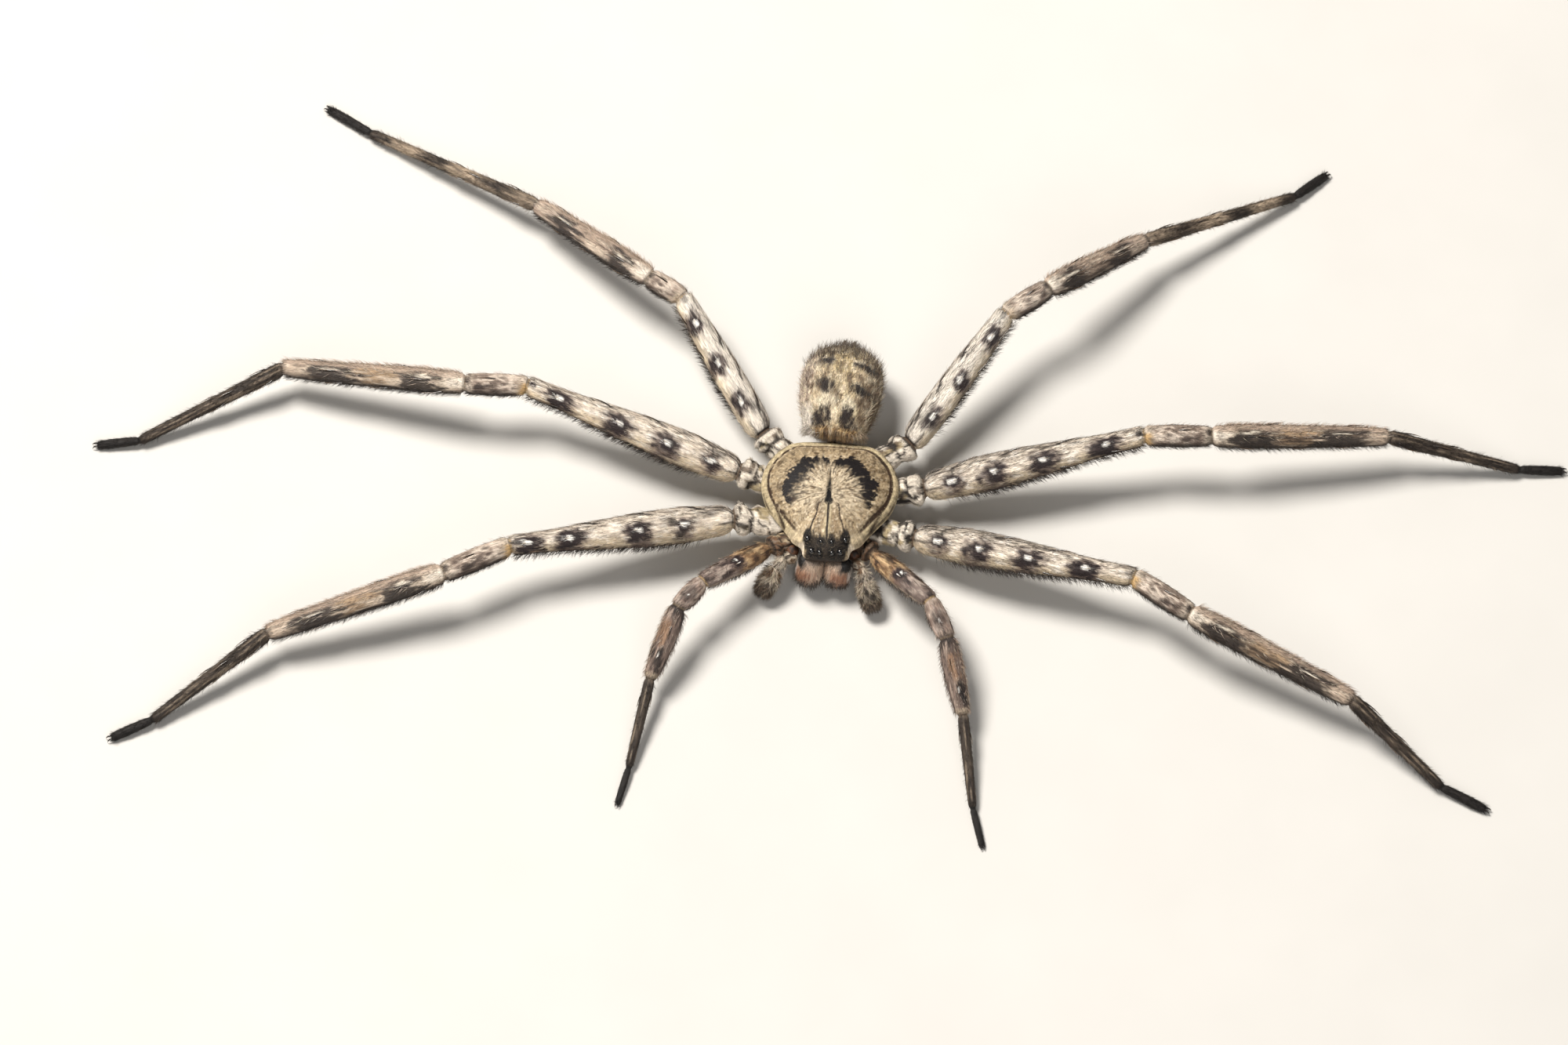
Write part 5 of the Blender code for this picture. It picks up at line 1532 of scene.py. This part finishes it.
def paint_sternum(u, v):
    p = STERNUM.place(u, v)
    edge = oval(p[:, 0], p[:, 1] - STERNUM_CENTRE[1], *STERNUM_HALF[:2])
    return layered(
        (176, 156, 122),
        ((120, 98, 70), 0.5 + 0.5 * noise(p, 1.5, 50)),
        (FOLD_DARK, 0.6 * smooth(0.85, 0.97, edge)))


STERNUM = ellipsoid_patch(STERNUM_CENTRE, STERNUM_HALF, paint_sternum)


def make_underside():
    dress(skin_mesh("sternum_skin", (STERNUM,), 90, SKIN_UNDER), "underside", "sternum_coxae")
    coat = Coat("sternum_hair", HAIR)
    coat.grow(STERNUM, 30, 0.45, 0.04, 30, zone=lambda u, v: plateau(v % 1.0, 0.45, 0.6, 0.9, 1.0))
    stretches = [("maxilla_" + side, mirrored(MAXILLA_FROM, side), mirrored(MAXILLA_TO, side), MAXILLA_RADIUS)
                 for side in "rl"]
    stretches.append(("stalk_skin", STALK_FROM, STALK_TO, STALK_RADIUS))
    for name, start, end, radius in stretches:
        tube = Tube(start, end, tapered(radius), tapered(radius), gap=0, inset=COAT_DEPTH / 2)

        def paint(u, v, tube=tube):
            return layered((150, 122, 88), ((84, 62, 44), 0.5 + 0.6 * noise(tube.own(u, v), 2, 51)))
        patch = tube.patch(paint, 20)
        dress(skin_mesh(name, (patch,), 32, SKIN_UNDER), "underside")
        if name != "stalk_skin":
            coat.grow(patch, 40, 0.45, 0.035, 35, tint=(96, 74, 54), bend=0.15)
    dress(coat.finish_mesh(), "underside")


PALP_KNOB = {"r": (-3.0, -4.1, 2.95), "l": (2.45, -4.15, 2.95)}
PALP_KNOB_HALF = (0.65, 0.62, 0.6)


def paint_knob(u, v):
    return layered((96, 62, 40), ((40, 26, 20), smooth(-0.2, 0.6, noise(drum(u * 3, v), 2.0, 47))))


def make_head_parts():
    for side in "rl":
        knob = ellipsoid_patch(PALP_KNOB[side], PALP_KNOB_HALF, paint_knob)
        dress(skin_mesh(f"palp_{side}_knob", (knob,), 32, SKIN_JAW), "palp_coat", "palp_arm_" + side)
        jaw = jaw_patch(side)
        dress(skin_mesh(f"chelicera_{side}_skin", (jaw,), 56, SKIN_JAW), "jaw", "chelicera_" + side)
        coat = Coat(f"chelicera_{side}_hair", HAIR)
        coat.grow(jaw, 60, 0.5, 0.035, 16, swing=14, vary=0.2)
        coat.grow(jaw, 30, 0.8, 0.035, 34, zone=between(0.55, 1.0), tint=(62, 52, 44), bend=0.15, vary=0.3)
        dress(coat.finish_mesh(), "jaw")
        palp = palp_patches(side)
        skin = skin_mesh(f"palp_{side}_skin", palp, 36, SKIN_LEG, PALP_FOLDS)
        dress(skin, "palp_coat", "palp_arm_" + side, "palp_bulb_" + side)
        coat = Coat(f"palp_{side}_hair", HAIR)
        for patch in palp:
            coat.grow(patch, 85, 0.42, 0.04, 28, vary=0.2)
        coat.grow(palp[1], 50, 0.7, 0.034, 50, tint=(206, 194, 178), bend=0.15)
        coat.grow(palp[2], 150, 0.7, 0.036, 52, bend=0.25, vary=0.2)
        coat.grow(palp[2], 80, 0.7, 0.032, 50, zone=between(0.55, 1.0), tint=(66, 55, 46), bend=0.25,
                  vary=0.3)
        dress(coat.finish_mesh(), "palp_coat")


def swept(path, radii, colours):
    """A tapering horn along a path of points, with one colour at its root and one at its tip."""
    path = np.array(path, float)
    steps = np.linspace(0, 1, len(path))

    def at(u):
        return np.stack([np.interp(u, steps, path[:, k]) for k in range(3)], 1)

    def place(u, v):
        x = unit(at(np.minimum(u + 0.05, 1)) - at(np.maximum(u - 0.05, 0)))
        y = unit(np.cross(UP + 1e-3, x))
        z = np.cross(x, y)
        r = np.interp(u, np.linspace(0, 1, len(radii)), radii)[:, None]
        return at(u) + r * (y * np.cos(v * math.tau)[:, None] + z * np.sin(v * math.tau)[:, None])

    def paint(u, v):
        return layered(colours[0], (colours[1], smooth(0.2, 0.9, u)))
    return Patch(place, place, paint, 8)


def join(name, objects):
    with bpy.context.temp_override(active_object=objects[0], object=objects[0], selected_objects=objects,
                                   selected_editable_objects=objects):
        bpy.ops.object.join()
    objects[0].name = name
    return objects[0]


FANG_SOCKET = (0.42, -0.1, -0.3)
FANG_SAG = 0.12


def make_fangs():
    """Fangs that lie folded under the jaws, pointing inwards and back."""
    for side in "rl":
        inwards = 1 if side == "r" else -1
        tip = mirrored(CHELICERA_TIP, side) + (JAW_SWING, 0, 0)
        start = tip + (-inwards * FANG_SOCKET[0], *FANG_SOCKET[1:])
        reach = np.array((inwards * FANG_LENGTH * 0.75, FANG_LENGTH * 0.5, 0))
        path = [start + reach * s - FANG_SAG * math.sin(s * math.pi) * UP for s in np.linspace(0, 1, 9)]
        radii = (FANG_RADIUS, FANG_RADIUS * 0.9, FANG_RADIUS * 0.6, 0.03)
        patch = swept(path, radii, ((60, 26, 14), (12, 7, 6)))
        dress(skin_mesh(f"fang_{side}_horn", (patch,), 18, HORN), "fang", "fang_" + side)


# how far aside and up each pair of spinnerets stands, its share of the full length, and its radius
SPINNERETS = ((0.34, 0.1, 1.0, 0.27), (0.3, -0.28, 0.8, 0.25), (0.1, -0.1, 0.6, 0.17))
SPINNERET_TAPER = (1.0, 1.0, 0.92, 0.7, 0.35)
SPINNERET_SUNK = 0.15


def make_spinnerets():
    """Three pairs of short hairy cones under the rear end."""
    top, bottom = (float(profile(rows, np.array(1.0))) for rows in (ABDOMEN_TOP, ABDOMEN_BOTTOM))
    height = (top + bottom) / 2 - SPINNERET_LOWERED
    cones = []
    patches = []
    for aside, lift, share, radius in SPINNERETS:
        for side in (-1, 1):
            start = np.array((side * aside, ABDOMEN_LENGTH - SPINNERET_SUNK, height + lift))
            start = start @ ABDOMEN_AXES + ABDOMEN_START
            ahead = np.array((side * 0.1, 0.35 + share * SPINNERET_LENGTH, -0.25)) @ ABDOMEN_AXES
            path = [start + ahead * s for s in np.linspace(0, 1, 6)]
            radii = [radius * taper for taper in SPINNERET_TAPER]
            patches.append(swept(path, radii, ((122, 104, 80), (84, 68, 52))))
            cones.append(skin_mesh("spinneret", patches[-1:], 20, SKIN_ABDOMEN))
    coat = Coat("spinneret_hair", HAIR)
    for patch in patches:
        coat.grow(patch, 110, 0.35, 0.03, 25, tint=(104, 90, 70), vary=0.3)
    dress(join("spinnerets_skin", cones), "abdomen_coat", "spinnerets")
    dress(coat.finish_mesh(), "abdomen_coat")


Spine = namedtuple("Spine", "stand share colours")
# degrees that a spine stands up, its share of the solid's length, and its colours
DARK_SPINE = Spine(15, 0.9, ((40, 30, 24), (96, 76, 56)))
SPOT_SPINE = Spine(12, 0.3, (WHITE_HAIR, (176, 160, 140)))
SPINE_WIDTH = {"short": 0.055, "long": 0.07}
SPINE_ROOT = 0.15
SPINE_BOW = 0.18


def make_spines(all_parts):
    """Curved, tapering spines: the dark ones of the solids, finer, and a short pale one on each spot."""
    spines = []
    for leg, parts in all_parts:
        table = SHORT_LEG_SPINES if leg.pair == 1 else LONG_LEG_SPINES
        wanted = [(segment, *row, DARK_SPINE) for segment, rows in table.items() for row in rows]
        on_spots = (SPOT_SPINE_ANGLE, SPOT_SPINE_LENGTH[leg.pair], SPOT_SPINE)
        wanted += [("femur", spot, *on_spots) for spot in leg.spots]
        width = SPINE_WIDTH["short" if leg.pair == 1 else "long"]
        radii = (width, width * 0.85, width * 0.55, 0.015)
        for segment, t, degrees, length, kind in wanted:
            here = (np.array([t]), np.array([degrees / 360]))
            points, normal, along, _ = surface_frame(parts[segment][1], *here)
            stand = math.radians(kind.stand)
            way = along[0] * math.cos(stand) + normal[0] * math.sin(stand)
            root = points[0] - way * SPINE_ROOT
            length *= kind.share
            path = [root + way * (length + SPINE_ROOT) * s - normal[0] * SPINE_BOW * length * s * s
                    for s in np.linspace(0, 1, 7)]
            spines.append(skin_mesh("spine", (swept(path, radii, kind.colours),), 8, HORN))
    dress(join("leg_spines", spines), "leg_coat")


SHORT_LEG_CLAW = 0.7
CLAW_SUNK = 0.28
CLAW_REACH = 0.62
CLAW_FLOOR = 0.05


def make_claws(all_parts):
    """Two claws at the end of each foot, side by side, bowed up and then down."""
    claws = []
    s = np.linspace(0, 1, 9)
    for leg, parts in all_parts:
        tube = parts["tarsus"][0]
        size = SHORT_LEG_CLAW if leg.pair == 1 else 1.0
        for aside in (-1, 1):
            ahead = tube.length - CLAW_SUNK + CLAW_REACH * size * np.sin(s * 1.45)
            apart = aside * (0.13 + 0.08 * s) * size
            up = 0.12 * size + 0.13 * size * np.sin(s * 2.6) - 0.4 * size * s * s
            path = np.stack((ahead, apart, up), 1) @ tube.axes + tube.start
            path[:, 2] = np.maximum(path[:, 2], CLAW_FLOOR)
            patch = swept(path, (0.08 * size, 0.07 * size, 0.05 * size, 0.012), ((30, 18, 12), (10, 7, 6)))
            claws.append(skin_mesh("claw", (patch,), 8, HORN))
    dress(join("claws", claws), "fang")


def carapace_top(x, y):
    """A place on the solid's upper face."""
    margin = profile(CARAPACE_MARGIN, y)
    rise = profile(CARAPACE_CREST, y) - margin
    across = x / profile(CARAPACE_HALF_WIDTH, y)
    return np.array((x, y, margin + rise * max(0.0, 1 - across * across) ** (CARAPACE_ROUND / 2)))


def make_eyes():
    for side, sign in (("r", -1), ("l", 1)):
        for name, (x, y, radius) in EYES.items():
            here = carapace_top(sign * x, y)
            leftwards = carapace_top(sign * x + 0.05, y) - here
            backwards = carapace_top(sign * x, y + 0.05) - here
            normal = unit(np.cross(leftwards, backwards))
            radius = radius * EYE_SHARE
            centre = here - normal * radius * EYE_SUNK

            def place(u, v, centre=centre, radius=radius):
                return centre + radius * np.stack(ball(u, v), 1)

            def paint(u, v):
                return np.tile(shade(8, 7, 8), (len(u), 1))
            patch = Patch(place, place, paint, 24)
            dress(skin_mesh(f"lens_{name}_{side}", (patch,), 40, LENS), "eye", f"eye_{name}_{side}")


# ---- stage ----

CAMERA_TARGET = (-3.816, -2.391, 5.0)
CAMERA_DISTANCE = 450.0
CAMERA_ELEVATION = math.radians(65)
CAMERA_AZIMUTH = math.radians(3.4)
LENS_MM = 118.1
# place and size in metres, power in watts and colour of each light
LIGHTS = {
    "key": ((-0.26, 0.16, 0.6), 0.25, 6.9, (1.0, 0.96, 0.9)),
    "fill": ((0.1, -0.5, 0.5), 0.5, 1.4, (1.0, 0.98, 0.95)),
}
FLOOR_REACH = 1.5
FLOOR_COLOURS = ((0.60, 0.585, 0.56, 1), (0.66, 0.645, 0.62, 1))
SKY_COLOUR = (1.0, 0.98, 0.95, 1)
SKY_STRENGTH = 0.17


def add_object(name, data):
    obj = bpy.data.objects.new(name, data)
    bpy.context.scene.collection.objects.link(obj)
    return obj


def make_camera():
    level = Vector((-math.sin(CAMERA_AZIMUTH), math.cos(CAMERA_AZIMUTH), 0))
    forward = level * math.cos(CAMERA_ELEVATION) - Vector((0, 0, math.sin(CAMERA_ELEVATION)))
    data = bpy.data.cameras.new("camera")
    data.lens = LENS_MM
    data.sensor_width = 36
    data.clip_start = 0.01
    camera = add_object("camera", data)
    camera.location = Vector(np.array(CAMERA_TARGET) * MM + ORIGIN) - forward * CAMERA_DISTANCE * MM
    camera.rotation_euler = forward.to_track_quat("-Z", "Y").to_euler()
    bpy.context.scene.camera = camera


def make_lights():
    for name, (place, size, power, colour) in LIGHTS.items():
        data = bpy.data.lights.new(name, "AREA")
        data.shape = "DISK"
        data.size = size
        data.energy = power
        data.color = colour
        light = add_object(name, data)
        light.location = place
        light.rotation_euler = (-Vector(place)).to_track_quat("-Z", "Y").to_euler()
    world = bpy.data.worlds.new("studio")
    world.use_nodes = True
    sky = world.node_tree.nodes["Background"].inputs
    sky["Color"].default_value = SKY_COLOUR
    sky["Strength"].default_value = SKY_STRENGTH
    bpy.context.scene.world = world
    bpy.context.scene.view_settings.view_transform = "Standard"


def make_floor():
    mesh = bpy.data.meshes.new("floor")
    corners = [(x * FLOOR_REACH, y * FLOOR_REACH, 0) for x, y in ((-1, -1), (1, -1), (1, 1), (-1, 1))]
    mesh.from_pydata(corners, [], [(0, 1, 2, 3)])
    floor = add_object("floor", mesh)
    finish = Finish("floor")
    ramp = finish.node("ShaderNodeValToRGB", {"Fac": finish.even_noise(3, 60)})
    for element, colour in zip(ramp.color_ramp.elements, FLOOR_COLOURS):
        element.color = colour
    mesh.materials.append(finish.shaded(Base_Color=ramp.outputs["Color"], Roughness=0.85))


make_body()
make_underside()
make_head_parts()
make_fangs()
make_spinnerets()
make_eyes()
ALL_PARTS = [(leg, make_leg(leg)) for leg in LEGS]
make_spines(ALL_PARTS)
make_claws(ALL_PARTS)
make_floor()
make_lights()
make_camera()
